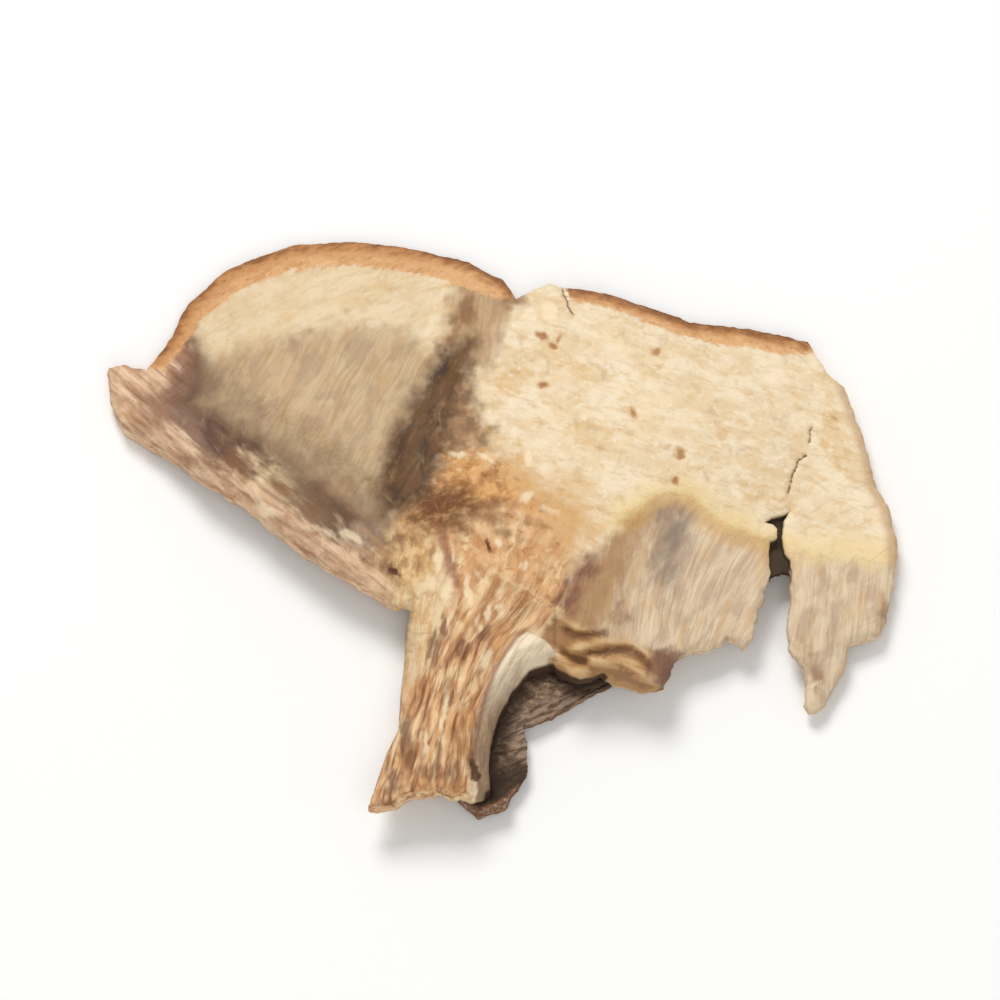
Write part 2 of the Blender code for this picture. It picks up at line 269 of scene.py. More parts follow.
def inside(points: np.ndarray, corners: np.ndarray) -> np.ndarray:
    """Tells which seen points lie within a closed outline.

    Args:
        points: Seen points in millimetres, one a row.
        corners: The outline's corners in millimetres.

    Returns:
        True for each point that is inside.
    """
    x, y = points[:, 0], points[:, 1]
    within = np.zeros(len(points), bool)
    for (x0, y0), (x1, y1) in zip(corners, np.roll(corners, -1, axis=0)):
        if y0 != y1:
            crosses = (y0 > y) != (y1 > y)
            within ^= crosses & (x < x0 + (y - y0) * (x1 - x0) / (y1 - y0))
    return within


def depth_in(points: np.ndarray, outline: Line) -> np.ndarray:
    """How deep inside a closed drawn outline each seen point is, negative outside it."""
    gap = distance_to(points, outline, closed=True)
    return np.where(inside(points, in_millimetres(outline)), gap, -gap)


def zone(points: np.ndarray, outline: Line, softness: float = 0.8) -> np.ndarray:
    """1 deep inside a closed drawn outline, 0 well outside it, with a soft border."""
    return smooth(depth_in(points, outline), -softness, softness)


def nearest_of(points: np.ndarray, lines: list[Line]) -> np.ndarray:
    """Distance of seen points from the nearest of several drawn lines."""
    return np.min([distance_to(points, line) for line in lines], axis=0)


class Grain:
    """Smooth lattice noise between -1 and 1, the same each run for the same seed."""

    def __init__(self, seed: int, size: int = 8192) -> None:
        """Fills the lattice's table from the seed."""
        self.table = np.random.default_rng(seed).uniform(-1.0, 1.0, size)

    def at(self, across: np.ndarray, along: np.ndarray) -> np.ndarray:
        """Reads the noise.

        Args:
            across: First coordinate, in lattice cells.
            along: Second coordinate, in lattice cells.

        Returns:
            One value a point.
        """
        column = np.floor(across).astype(np.int64)
        row = np.floor(along).astype(np.int64)
        u = across - column
        v = along - row
        u = u * u * (3.0 - 2.0 * u)
        v = v * v * (3.0 - 2.0 * v)

        def corner(i: int, j: int) -> np.ndarray:
            """Lattice value at a corner of each point's cell."""
            return self.table[((column + i) * 1619 + (row + j) * 6971) % len(self.table)]

        near = corner(0, 0) * (1.0 - u) + corner(1, 0) * u
        far = corner(0, 1) * (1.0 - u) + corner(1, 1) * u
        return near * (1.0 - v) + far * v

    def over(self, grain: np.ndarray, across: float, along: float, shift: float = 0.0) -> np.ndarray:
        """Noise over grain coordinates, with cells of a size in millimetres."""
        return self.at(grain[:, 0] / across, grain[:, 1] / along + shift)

    def ridged(self, grain: np.ndarray, across: float, along: float) -> np.ndarray:
        """Noise with sharp crests at 1 and round valleys towards -1."""
        return 1.0 - 2.0 * np.abs(self.over(grain, across, along))


SWAY = Grain(31)  # sways the grains and shakes the marks


@dataclass(frozen=True)
class Droop:
    """How far a side of the slice hangs, and between which seen distances it gets there."""

    depth: float
    start: float
    end: float

    def at(self, distance: np.ndarray) -> np.ndarray:
        """The droop at some distances, in millimetres."""
        return self.depth * smooth(distance, self.start, self.end)


@dataclass(frozen=True)
class Fold:
    """Fold beside a line, or a valley if its height is negative, and how far away its crest lies."""

    height: float
    half_width: float
    away: float = 0.0

    def at(self, distance: np.ndarray) -> np.ndarray:
        """The rise at some distances from the line, in millimetres."""
        return self.height * crest(np.abs(distance - self.away), self.half_width)


@dataclass(frozen=True)
class Bevel:
    """Flat bevel along an edge: how deep it is at the edge, and how wide."""

    depth: float
    width: float

    def at(self, distance: np.ndarray) -> np.ndarray:
        """The depth at some distances from the edge, in millimetres."""
        return self.depth * (1.0 - ramp(distance, 0.0, self.width))


@dataclass(frozen=True)
class CurledSheet:
    """Heights and thickness of the sheet that holds cap and stem, in millimetres."""

    crown: float = 5.0
    right: Droop = Droop(2.6, 7.0, 33.0)
    left: Droop = Droop(2.7, 8.0, 31.0)
    top: Droop = Droop(2.5, 5.0, 25.0)
    tubes: Droop = Droop(0.9, 1.0, 12.0)
    warp: float = 0.25
    stem_side: Droop = Droop(0.7, 0.0, 4.5)
    stem_curl: float = 4.0
    stem_curl_width: float = 2.1
    stem_curl_steepness: float = 0.97
    tube_step: float = 0.35
    skin_bevel: Bevel = Bevel(1.5, 2.1)
    rim_bevel: Bevel = Bevel(1.3, 1.5)
    rim_below: Fold = Fold(-1.3, 2.4)
    edge_round: Fold = Fold(-0.22, 0.55)
    edge_taper: Fold = Fold(-0.65, 1.6)
    lip: Fold = Fold(1.0, 2.0)
    bridge: Fold = Fold(0.5, 1.5)
    wing_lip: Fold = Fold(0.8, 1.9, 1.8)
    wing_valley: Fold = Fold(-1.3, 3.2, 6.0)
    wing_start: float = 8.5
    wing_end: float = 13.0
    flesh_thickness: float = 2.7
    tube_thickness: float = 1.5
    stem_thickness: float = 1.7
    wing_thickness: float = 2.0
    thinnest: float = 0.9
    least_gap: float = 0.7

    def outline(self) -> list[tuple[Line, float]]:
        """The stretches of the outer edge, each with how ragged it is in millimetres.

        Returns:
            The drawn stretches in order, each with its raggedness.
        """
        return [
            (SKIN_EDGE, 0.08), (RIGHT_EDGE, 0.09), (FLAP_EDGE, 0.12), (SLOT_EDGE, 0.10),
            (TUBE_EDGE, 0.18), (STEM_RIM, 0.05), (STEM_FOOT, 0.10), (STEM_LEFT, 0.0),
            (WING_EDGE, 0.10),
        ]

    def drawn(self) -> Line:
        """The whole outer edge as one line."""
        return [point for stretch, _ in self.outline() for point in stretch]

    def stem_part(self, points: np.ndarray) -> np.ndarray:
        """1 on the stem, 0 on the cap."""
        return smooth(-points[:, 1], 0.0, 5.0) * (points[:, 0] < 5.0)

    def wing_part(self, points: np.ndarray) -> np.ndarray:
        """1 on the outer part of the cap's left half, 0 elsewhere."""
        return smooth(-points[:, 0], self.wing_start, self.wing_end)

    def broad_height(self, points: np.ndarray) -> np.ndarray:
        """Upper surface without its bevelled edges and folds.

        Args:
            points: Seen points in millimetres, one a row.

        Returns:
            The heights in millimetres.
        """
        x, y = points[:, 0], points[:, 1]
        height = self.crown - self.right.at(x) - self.left.at(-x)
        height -= self.top.at(y) * (1.0 - 0.4 * smooth(np.abs(x), 12.0, 30.0))
        height -= self.tubes.at(-y) * smooth(x, 5.0, 11.0)
        height -= self.stem_side.at(distance_to(points, STEM_AXIS)) * self.stem_part(points)
        bend = np.clip(1.0 - distance_to(points, STEM_LEFT) / self.stem_curl_width, 0.0, 1.0)
        curl = 1.0 - np.sqrt(1.0 - self.stem_curl_steepness * bend * bend)
        height -= self.stem_curl * curl * smooth(-y, 4.2, 7.5) * smooth(y, -20.5, -15.5)
        return height + self.warp * (
            np.sin(0.33 * x + 0.21 * y + 1.0) + np.sin(0.27 * y - 0.19 * x + 2.0)
        )

    def folds(self, points: np.ndarray) -> np.ndarray:
        """What the lips, valleys and bevelled edges add to the upper surface.

        Args:
            points: Seen points in millimetres, one a row.

        Returns:
            The rise in millimetres.
        """
        rise = -self.tube_step * (zone(points, TUBES_RIGHT) + zone(points, TUBES_LEFT))
        rise += self.lip.at(distance_to(points, LIP_CREST))
        rise += self.bridge.at(distance_to(points, BRIDGE_CREST))
        from_wing = distance_to(points, WING_EDGE)
        rise += (self.wing_lip.at(from_wing) + self.wing_valley.at(from_wing)) * self.wing_part(points)
        rise -= self.skin_bevel.at(distance_to(points, SKIN_EDGE))
        rise -= self.rim_bevel.at(distance_to(points, STEM_RIM))
        return rise + self.edge_round.at(distance_to(points, self.drawn(), closed=True))

    def height(self, points: np.ndarray) -> np.ndarray:
        """Upper surface without the fine relief, in millimetres."""
        return np.maximum(self.broad_height(points) + self.folds(points), self.thinnest)

    def thickness(self, points: np.ndarray) -> np.ndarray:
        """Thickness before the edges are bevelled.

        Args:
            points: Seen points in millimetres, one a row.

        Returns:
            The thickness in millimetres.
        """
        thick = self.flesh_thickness + np.zeros(len(points))
        thick += (self.tube_thickness - self.flesh_thickness) * zone(points, TUBES_RIGHT, 2.6)
        thick += (self.wing_thickness - self.flesh_thickness) * self.wing_part(points)
        thick += self.edge_taper.at(nearest_of(points, [TAPERED_TUBES, FLAP_EDGE]))
        return thick + (self.stem_thickness - thick) * self.stem_part(points)

    def upper(self, points: np.ndarray, relief: np.ndarray) -> np.ndarray:
        """Places of the upper surface, with the fine relief added."""
        return on_table(points, self.height(points) + relief)

    def lower(self, points: np.ndarray, hollow: np.ndarray) -> np.ndarray:
        """Places of the lower surface, square below the broad upper one.

        Args:
            points: Seen points in millimetres, one a row.
            hollow: How far the fine relief cuts up into the sheet there.

        Returns:
            The places, one a row.
        """
        nudge = 0.05
        right = points + np.array([nudge, 0.0])
        back = points + np.array([0.0, nudge])
        place = on_table(points, self.broad_height(points))
        normal = np.cross(
            on_table(right, self.broad_height(right)) - place,
            on_table(back, self.broad_height(back)) - place,
        )
        normal /= np.linalg.norm(normal, axis=1)[:, None]
        place = place - self.thickness(points)[:, None] * normal
        place[:, 2] += self.rim_below.at(distance_to(points, STEM_RIM))
        place[:, 2] = np.maximum(np.minimum(place[:, 2], self.height(points) - self.least_gap), 0.0)
        place[:, 2] += hollow * smooth(distance_to(points, self.drawn(), closed=True), 0.2, 1.4)
        return place


@dataclass(frozen=True)
class RolledLeaf:
    """Leaf that the stem rolls under itself: its sizes in millimetres."""

    thickness: float = 1.3
    lip: Fold = Fold(0.9, 1.2)
    under_round: Fold = Fold(0.5, 0.7)
    round_start: float = -5.0
    round_end: float = -3.0

    def outline(self) -> list[tuple[Line, float]]:
        """The leaf's edge, with how ragged it is in millimetres."""
        return [(LEAF_EDGE, 0.14)]

    def height(self, points: np.ndarray) -> np.ndarray:
        """Upper surface without the fine relief, in millimetres."""
        return self.thickness + self.lip.at(distance_to(points, LEAF_LIP))

    def upper(self, points: np.ndarray, relief: np.ndarray) -> np.ndarray:
        """Places of the upper surface, with the fine relief added."""
        return on_table(points, self.height(points) + relief)

    def lower(self, points: np.ndarray, hollow: np.ndarray) -> np.ndarray:
        """Places of the lower surface, which rests on the table.

        Args:
            points: Seen points in millimetres, one a row.
            hollow: How far the fine relief cuts up into the leaf there.

        Returns:
            The places, one a row.
        """
        place = on_table(points, self.height(points))
        place[:, 2] = self.under_round.at(distance_to(points, LEAF_EDGE, closed=True))
        place[:, 2] *= smooth(points[:, 0], self.round_start, self.round_end)
        place[:, 2] += hollow
        return place


@dataclass(frozen=True)
class SlotFloor:
    """Torn tissue that bridges the upper part of the slot: its sizes in millimetres."""

    sheet: CurledSheet = CurledSheet()
    sunk: float = 1.0
    thickness: float = 0.5

    def outline(self) -> list[tuple[Line, float]]:
        """The floor's edge, with how ragged it is in millimetres."""
        return [(SLOT_FLOOR, 0.12)]

    def upper(self, points: np.ndarray, relief: np.ndarray) -> np.ndarray:
        """Places of the upper surface, sunk into the slot."""
        return on_table(points, self.sheet.broad_height(points) - self.sunk + relief)

    def lower(self, points: np.ndarray, hollow: np.ndarray) -> np.ndarray:
        """Places of the lower surface, square below the upper one.

        Args:
            points: Seen points in millimetres, one a row.
            hollow: How far the fine relief cuts up into the floor there.

        Returns:
            The places, one a row.
        """
        place = self.upper(points, hollow)
        place[:, 2] -= self.thickness
        return place


Sheet = Union[CurledSheet, RolledLeaf, SlotFloor]


def on_table(points: np.ndarray, height: np.ndarray) -> np.ndarray:
    """Places of seen points that lie at a height, in millimetres in the part's frame.

    Args:
        points: Seen points in millimetres, one a row.
        height: Their heights above the table.

    Returns:
        The places, one a row.
    """
    along = (points[:, 1] - height * math.cos(VIEW_TILT)) / math.sin(VIEW_TILT)
    return np.column_stack([points[:, 0], along, height]) + TABLE_SHIFT


@dataclass(frozen=True)
class Speck:
    """Small mark: its middle, half length and half width in seen steps, turn, shade and depth."""

    x: float
    y: float
    length: float
    width: float
    angle: float = 0.0
    shade: float = 1.0
    depth: float = 0.0

    def at(self, points: np.ndarray) -> np.ndarray:
        """1 in the middle of the mark and 0 outside it.

        Args:
            points: Seen points in millimetres, one a row.

        Returns:
            The strength of the mark at each point.
        """
        gap = points / SEEN_STEP - np.array([self.x, self.y])
        turn = math.radians(self.angle)
        along = gap[:, 0] * math.cos(turn) + gap[:, 1] * math.sin(turn)
        across = -gap[:, 0] * math.sin(turn) + gap[:, 1] * math.cos(turn)
        return 1.0 - smooth(np.hypot(along / self.length, across / self.width), 0.2, 1.0)


def specks(*rows: tuple[float, ...]) -> list[Speck]:
    """Marks from their sizes, in the order of a speck's fields."""
    return [Speck(*row) for row in rows]


# Holes and pits with their depth in millimetres, then marks of colour alone
WORM_MARKS = specks(
    (22.8, 93.2, 5.4, 2.8, -42, 1, 0.35), (27.4, 88.6, 4.6, 2.2, -40, 1, 0.3),
    (30.2, 91.6, 5.2, 2, 72, 0.75, 0.25), (12.5, 77.4, 4.6, 1.6, 5, 0.5, 0.08),
    (23, 71, 5, 3.2, -12, 1, 0.3), (73.6, 86, 4.6, 3.6, 0, 0.85, 0.22),
    (74.7, 79, 5.4, 2.2, 0, 0.5, 0.1), (62.6, 58.4, 5.4, 3, -42, 0.85, 0.25),
    (83.2, 40.3, 4, 4, 0, 0.9, 0.22), (81.5, 28.5, 3, 3.6, 0, 0.9, 0.22),
    (152.8, 57, 3.6, 2, -60, 0.7, 0.15), (114.6, 49.4, 8, 3.6, -14, 0.35, 0.04),
    (99, 54.4, 5, 2, -6, 0.3, 0.04), (93, 74, 4, 2.4, 20, 0.25, 0.03),
    (48.5, 78.6, 8.4, 2.4, -34, 0.4, 0.08), (38, 68.8, 8, 1.4, -2, 0.3, 0.05),
    (32, 61.6, 8, 1.2, 3, 0.3, 0.05), (12, 86.4, 7, 1.4, 3, 0.35, 0.06),
    (136, 14, 4, 2, 30, 0.3, 0),
)

DARK_PITS = specks(
    (-0.8, 0.2, 1.7, 4.4, 8, 1, 0.4), (-7, -98, 3, 8, 12, 1, 0.3),
    (-42.4, -11.6, 4.6, 1.8, -34, 0.85, 0.25),
)

KNOT = Speck(3.2, 0.6, 3.6, 4.6, 10.0)  # raised, beside the pit at the top of the stem

STAINS = specks(
    (-12.6, -45.4, 8, 6, 60, 0.9), (-3, -38.4, 7, 4.6, 50, 0.8), (-25.5, -45, 4.4, 15, -10, 0.9),
    (-38, -84, 4.6, 15, -10, 0.95), (-21, -36, 3.4, 8, -6, 0.85), (-35.4, -92, 4, 8, -6, 0.85),
    (-16, -94, 4, 9, 0, 0.7), (-42.6, -101, 2.6, 9, -8, 0.9), (-9, -94, 3.6, 12, 6, 0.7),
    (-20, -66, 3, 12, -6, 0.5), (-24, -90, 2.6, 12, -6, 0.45), (-18, 20, 9, 5, 8, 0.9),
    (-26, 17, 9, 4, 20, 0.85), (13, -31, 9, 4, 42, 0.5), (30, -24, 7, 3.4, 60, 0.55),
    (-44, -10.6, 11, 4.6, -32, 0.75), (-54, -6.4, 9, 4.4, -24, 0.65), (-61, -3, 8, 3, -34, 0.5),
    (-26, -3, 3, 6, 0, 0.4), (-36, 1, 8, 6, 0, 0.5), (-24, -98, 20, 7, 0, 0.75),
    (-44, -106, 12, 3.6, 20, 0.55), (-30, -88, 3, 12, -8, 0.5), (-14, -84, 2.6, 14, -2, 0.5),
    (-122, 34, 12, 4, -34, 0.6), (-38, -5, 4, 8, 10, 0.5), (60, -55, 8, 2.6, -24, 0.5),
    (50, -47.6, 7, 2.6, 0, 0.4), (-34, -8, 4, 9, 10, 0.45), (-40, 3, 9, 3.6, -20, 0.5),
)

# Soft brown patches; those at (-17, 95), (-11, 105) and (10, 110), at the crown's upper left, are
# painted shadow of a neighbouring slice
SOFT_STAINS_AND_SHADOWS = specks(
    (56, -31, 8, 9, 20, 0.6), (143, -57, 5, 13, 12, 0.6), (138, -48, 4.4, 8, 0, 0.5),
    (173, -28, 4, 11, 8, 0.5), (-17, 95, 4.4, 15, 0, 0.8), (-11, 105, 7, 13),
    (10, 110, 11, 5.4, 20, 0.75), (-1, 12.6, 17, 5.6, -5, 0.75), (6, 6, 10, 3.4, -10, 0.7),
    (-1, 18, 13, 5.4, 4, 0.8), (20, 9.6, 11, 3.6, -16, 0.55), (-14, 7.4, 9, 4.8, -6, 0.75),
    (14, 3, 10, 3.4, -24, 0.5), (-36, -90, 3.6, 9, -6, 0.9), (-133, 37, 14, 5, -34, 0.6),
    (-111, 30, 9, 4, -34, 0.7), (-114, 37, 9, 5, -34, 0.8), (-93, 25, 14, 4.4, -34, 0.85),
    (-79, 15.6, 9, 4, -34, 0.7),
)

LIGHTS = specks(
    (-10.5, -20, 2.6, 11, 6), (-1.5, -30, 2.2, 7, 0, 0.8), (-20.6, -74, 2, 19, -5, 0.9),
    (-13.6, -62, 1.8, 10, -5, 0.8), (-28.6, -86, 2.2, 9, -8, 0.8), (3.2, 0.8, 2.4, 4, 10, 0.7),
    (-15, 40, 6, 2.6, -8), (-3, 39, 8, 1.8, -34), (16, 39, 3.4, 5, 10),
    (16, 21.6, 4.4, 4.4, 0, 0.9), (26, 15, 6, 2, -20, 0.6), (-17, -4, 1.6, 7, 0, 0.7),
    (-23.4, -7, 2.8, 10, -10), (-27, -17, 6, 6, 0, 0.9), (-20, -20, 4, 9, -10, 0.9),
    (26, 104, 6, 10, 0, 0.8), (54, 91, 18, 3.4, -24, 0.7), (74, 62, 18, 16, 0, 0.5),
    (142, -61, 6, 1.8, 24, 0.7), (-100, 15, 9, 4, -34, 0.8), (-71, 5, 7, 3, -30, 0.7),
    (-2, -49, 3, 8, -24, 0.8), (-5.6, -14, 3, 7, 10, 0.8), (4, -20, 3, 6, -20, 0.8),
    (4, -28, 3.4, 7, -14, 0.9), (-6, -34, 2.6, 6, 0, 0.7), (14, -9, 3, 5, -30, 0.7),
    (-80, 7, 9, 3, -28, 0.6), (-62, 4, 9, 3.6, -20, 0.8),
)

CLOUDS = specks(
    (9, 74, 13, 11, 0, 0.8), (38, 79, 26, 8, -26, 0.75), (44, 48, 24, 11, -14, 0.7),
    (104, 50, 20, 7, -8, 0.6), (154, 46, 10, 24, 14, 0.7), (120, 24, 13, 8, 0, 0.6),
    (-60, 112, 40, 7, 12, 0.6),
)


@dataclass
class Survey:
    """What lies at each seen point: depths in the tissues' fields and distances from lines."""

    points: np.ndarray
    loose: np.ndarray = field(init=False)
    found: dict[str, np.ndarray] = field(init=False)

    def __post_init__(self) -> None:
        """Measures every field and line at the points, in millimetres."""
        x, y = self.points[:, 0], self.points[:, 1]
        fields = {
            "tubes_right": TUBES_RIGHT, "tubes_left": TUBES_LEFT, "crescent": CRESCENT, "glow": GLOW,
            "bruise": BRUISE, "shadow_strip": SHADOW_STRIP, "streaked": STREAKED, "stem_pale": STEM_PALE,
            "rim": RIM_FACE, "root": ROOT, "root_dark": ROOT_DARK, "lip": LIP_FACE,
            "lip_end": LIP_END, "purple": PURPLE, "shadow": SHADOW, "ochre_patch": OCHRE_PATCH,
        }
        lines = {
            "tube_top": [TUBE_TOP], "flap_top": [FLAP_TOP], "creases": CREASES, "cracks": CRACKS,
            "stem_border": [STEM_BORDER], "rim_border": [RIM_BORDER], "pale_fibre": [PALE_FIBRE],
            "folds": FOLDS, "leaf_foot": [LEAF_FOOT], "leaf_side": [LEAF_SIDE],
            "slot": [SLOT_EDGE] + SLOT_DEPTHS, "right_edge_shade": [RIGHT_SHADE_LINE], "wing_across": [WING_EDGE],
            # painted shade follows this line, under the stem's rim and the lip
            "rim_shadow_line": [TUBE_EDGE[-3:] + STEM_RIM],
        }
        self.found = {name: depth_in(self.points, line) for name, line in fields.items()}
        self.found.update({name: nearest_of(self.points, group) for name, group in lines.items()})
        self.found["skin"] = np.maximum(depth_in(self.points, SKIN), depth_in(self.points, SKIN_RIGHT))
        self.found["leftward"] = -x
        self.found["skin_across"] = distance_to(self.points, SKIN_EDGE)
        self.found["wing_along"] = wing_grain(self.points)[:, 1]
        self.found["left"] = smooth(-x, 3.0, 7.0) * smooth(y, 2.0, 6.0)
        shaken = [
            SWAY.at(x / 0.55 + 9.0 * i, y / 0.55) + 0.6 * SWAY.at(x / 0.3, y / 0.3 + 9.0 * i)
            for i in range(2)
        ]
        self.loose = self.points + MARK_SHAKE * np.column_stack(shaken)
        marks = {
            "worm": WORM_MARKS, "pit": DARK_PITS, "stain": STAINS, "shade": SOFT_STAINS_AND_SHADOWS, "light": LIGHTS,
            "cloud": CLOUDS,
        }
        for name, group in marks.items():
            self.found[name] = np.max([mark.shade * mark.at(self.loose) for mark in group], axis=0)
        self.found["stemward"] = np.maximum(self.found["streaked"], self.found["stem_pale"])
        self.found["down_stem"] = smooth(-y, 1.0, 8.0)
        self.found["lower_stem"] = smooth(-y, 9.0, 15.0)
        self.found["near_stem"] = 1.0 - smooth(x - 0.5 * y, 8.0, 17.0)

    def within(self, name: str, softness: float) -> np.ndarray:
        """1 inside a field and 0 outside it, with a soft border."""
        return smooth(self.found[name], -softness, softness)

    def on_wing(self) -> np.ndarray:
        """1 on the curled edge of the left half of the cap."""
        across = self.found["wing_across"]
        return (1.0 - smooth(across, 4.0, 5.6)) * smooth(-self.points[:, 0], 6.6, 9.0)


@dataclass(frozen=True)
class Relief:
    """Fine relief of the sheets, in millimetres, from lattice noise along the grain."""

    lumps: Grain = Grain(21)
    fibres: Grain = Grain(22)
    tubes: Grain = Grain(23)
    stem: Grain = Grain(24)
    wing: Grain = Grain(25)
    fold: Fold = Fold(0.34, 0.85)
    calming: float = 0.65
    skin_grit: float = 0.12
    rim_sunk: float = 0.10
    knot_rise: float = 0.25
    mark_share: float = 0.6
    lines: tuple[tuple[str, Fold], ...] = (
        ("creases", Fold(-0.45, 0.55)), ("cracks", Fold(-0.30, 0.18)),
        ("stem_border", Fold(-0.22, 0.6)), ("rim_border", Fold(-0.12, 0.35)),
        ("pale_fibre", Fold(0.05, 0.3)),
    )

    def flesh(self, points: np.ndarray) -> np.ndarray:
        """Low lumps with fibres along the grain.

        Args:
            points: Seen points in millimetres, one a row.

        Returns:
            The rise in millimetres.
        """
        grain = flesh_grain(points)
        relief = 0.13 * self.lumps.over(grain, 3.4, 1.9)
        relief += 0.07 * self.lumps.over(grain, 1.5, 0.9, 3.0)
        relief += 0.03 * self.fibres.over(grain, 2.6, 0.42)
        return relief + 0.03 * self.fibres.over(grain, 0.7, 0.45, 7.0)

    def lined(self, points: np.ndarray) -> np.ndarray:
        """Tubes side by side, with broad hollows between bundles.

        Args:
            points: Seen points in millimetres, one a row.

        Returns:
            The rise in millimetres.
        """
        grain = tube_grain(points)
        relief = 0.04 * self.tubes.over(grain, 0.36, 3.0)
        relief += 0.08 * self.tubes.at(grain[:, 0] / 1.5 + 5.0, grain[:, 1] / 5.0)
        return relief + 0.12 * self.tubes.at(grain[:, 0] / 3.6 + 5.0, grain[:, 1] / 3.0)

    def streaked(self, points: np.ndarray) -> np.ndarray:
        """Long ridges and furrows that run down the stem.

        Args:
            points: Seen points in millimetres, one a row.

        Returns:
            The rise in millimetres.
        """
        grain = stem_grain(points)
        relief = 0.11 * self.stem.ridged(grain, 0.8, 4.5)
        relief += 0.07 * self.stem.over(grain, 0.4, 2.0, 5.0)
        return relief + 0.12 * self.stem.over(grain, 2.2, 3.8)

    def folded(self, survey: Survey) -> np.ndarray:
        """The drawn folds of the lip, with small wrinkles along them.

        Args:
            survey: What lies at the seen points.

        Returns:
            The rise in millimetres.
        """
        x, y = survey.points[:, 0], survey.points[:, 1]
        across = y + 0.3 * x + 0.25 * self.wing.at(x / 1.6, y / 1.2)
        relief = self.fold.at(survey.found["folds"]) - 0.06
        return relief + 0.06 * self.wing.at(across / 0.4, x / 1.4)

    def wrinkled(self, points: np.ndarray) -> np.ndarray:
        """Wrinkles along the curled edge of the cap.

        Args:
            points: Seen points in millimetres, one a row.

        Returns:
            The rise in millimetres.
        """
        grain = wing_grain(points)
        across, along = grain[:, 0], grain[:, 1]
        swayed = np.column_stack([across + 0.5 * self.wing.at(along / 2.6, across / 2.0), along])
        relief = 0.15 * self.wing.ridged(swayed, 1.2, 6.5)
        relief += 0.09 * self.wing.over(swayed, 0.5, 2.4)
        return relief + 0.16 * self.wing.over(grain, 2.2, 2.0, 4.0)

    def sheet(self, survey: Survey) -> np.ndarray:
        """Relief of the cut face of cap and stem.

        Args:
            survey: What lies at the seen points.

        Returns:
            The rise at each of them.
        """
        points = survey.points
        relief = self.flesh(points)
        lined = np.maximum(survey.within("tubes_right", 0.6), survey.within("tubes_left", 0.7))
        relief += (self.lined(points) - relief) * lined
        streaked = np.maximum(survey.within("stemward", 0.5), 0.8 * survey.within("root", 1.2))
        relief += (self.streaked(points) - relief) * streaked
        relief += (self.wrinkled(points) - relief) * survey.on_wing()
        calm = np.maximum(survey.within("rim", 0.2), survey.within("stem_pale", 0.5))
        relief *= 1.0 - self.calming * calm
        relief += (self.folded(survey) - relief) * survey.within("lip", 0.5)
        relief += self.skin_grit * self.wing.over(points, 0.35, 0.3) * survey.within("skin", 0.2)
        relief -= self.rim_sunk * survey.within("rim", 0.12)
        for name, fold in self.lines:
            relief += fold.at(survey.found[name])
        relief += self.knot_rise * KNOT.at(points)
        for mark in WORM_MARKS + DARK_PITS:
            relief -= self.mark_share * mark.depth * mark.at(survey.loose)
        return relief

    def leaf(self, survey: Survey) -> np.ndarray:
        """Rough surface of the rolled leaf.

        Args:
            survey: What lies at the seen points.

        Returns:
            The rise in millimetres.
        """
        points = survey.points
        relief = 0.20 * self.lumps.over(points, 1.5, 0.9) + 0.12 * self.stem.ridged(points, 0.8, 0.5)
        return relief + 0.06 * self.lumps.over(points, 0.3, 0.3)

    def hollow(self, points: np.ndarray) -> np.ndarray:
        """How far the lower surface is cut up by furrows and dents.

        Args:
            points: Seen points in millimetres, one a row.

        Returns:
            The depth in millimetres.
        """
        grain = flesh_grain(points)
        dents = 0.12 * (1.0 + self.lumps.over(grain, 3.0, 1.8))
        return dents + 0.05 * (1.0 + self.fibres.over(grain, 2.4, 0.5))


def flesh_grain(points: np.ndarray) -> np.ndarray:
    """Coordinates along and across the fibres of the cap, which follow its skin.

    Args:
        points: Seen points in millimetres, one a row.

    Returns:
        The two coordinates in millimetres, one point a row.
    """
    x, y = points[:, 0], points[:, 1]
    fall = 0.30 * (np.sqrt((x + 1.5) ** 2 + 4.0) - 2.0)
    return np.column_stack([x - 0.25 * y, y + fall])


def stem_grain(points: np.ndarray) -> np.ndarray:
    """Coordinates across and along the stem, whose streaks fan out into the cap.

    Args:
        points: Seen points in millimetres, one a row.

    Returns:
        The two coordinates in millimetres, one point a row.
    """
    y = points[:, 1]
    left = in_millimetres(STEM_FLOW_LEFT)
    right = in_millimetres(STEM_FLOW_RIGHT)
    start = np.interp(y, left[:, 1], left[:, 0])
    end = np.interp(y, right[:, 1], right[:, 0])
    across = 8.0 * (points[:, 0] - start) / (end - start)
    sway = 0.20 * SWAY.at(y / 2.4, across / 1.8) + 0.06 * SWAY.at(y / 1.0, across / 0.8 + 5.0)
    return np.column_stack([across + sway, y])


def root_grain(points: np.ndarray) -> np.ndarray:
    """Coordinates round and out from the top of the stem, where its fibres fan out.

    Args:
        points: Seen points in millimetres, one a row.

    Returns:
        The two coordinates in millimetres, one point a row.
    """
    gap = points - in_millimetres([(-12, 2)])
    gap += 0.35 * np.column_stack([SWAY.over(gap, 1.3, 1.3, 3.0 * i) for i in range(2)])
    return np.column_stack([4.5 * np.arctan2(gap[:, 0], gap[:, 1]), np.hypot(gap[:, 0], gap[:, 1])])


def wing_grain(points: np.ndarray) -> np.ndarray:
    """Coordinates across the left edge of the cap, and from the stem out along it.

    Args:
        points: Seen points in millimetres, one a row.

    Returns:
        The two coordinates in millimetres, one point a row.
    """
    ends = in_millimetres(WING_EDGE)
    along = ends[-3] - ends[0]
    along /= np.linalg.norm(along)
    gap = points - ends[0]
    return np.column_stack([gap @ np.array([along[1], -along[0]]), gap @ along])


def tube_grain(points: np.ndarray) -> np.ndarray:
    """Coordinates across and along the tubes, which lean towards the stem, least on the flap.

    Args:
        points: Seen points in millimetres, one a row.

    Returns:
        The two coordinates in millimetres, one point a row.
    """
    x, y = points[:, 0], points[:, 1]
    lean = 0.12 + 0.45 * smooth(x, 9.0, 20.0) * (x < 23.2)
    return np.column_stack([x - lean * y + 0.18 * SWAY.at(y / 2.2, x / 1.2), y])


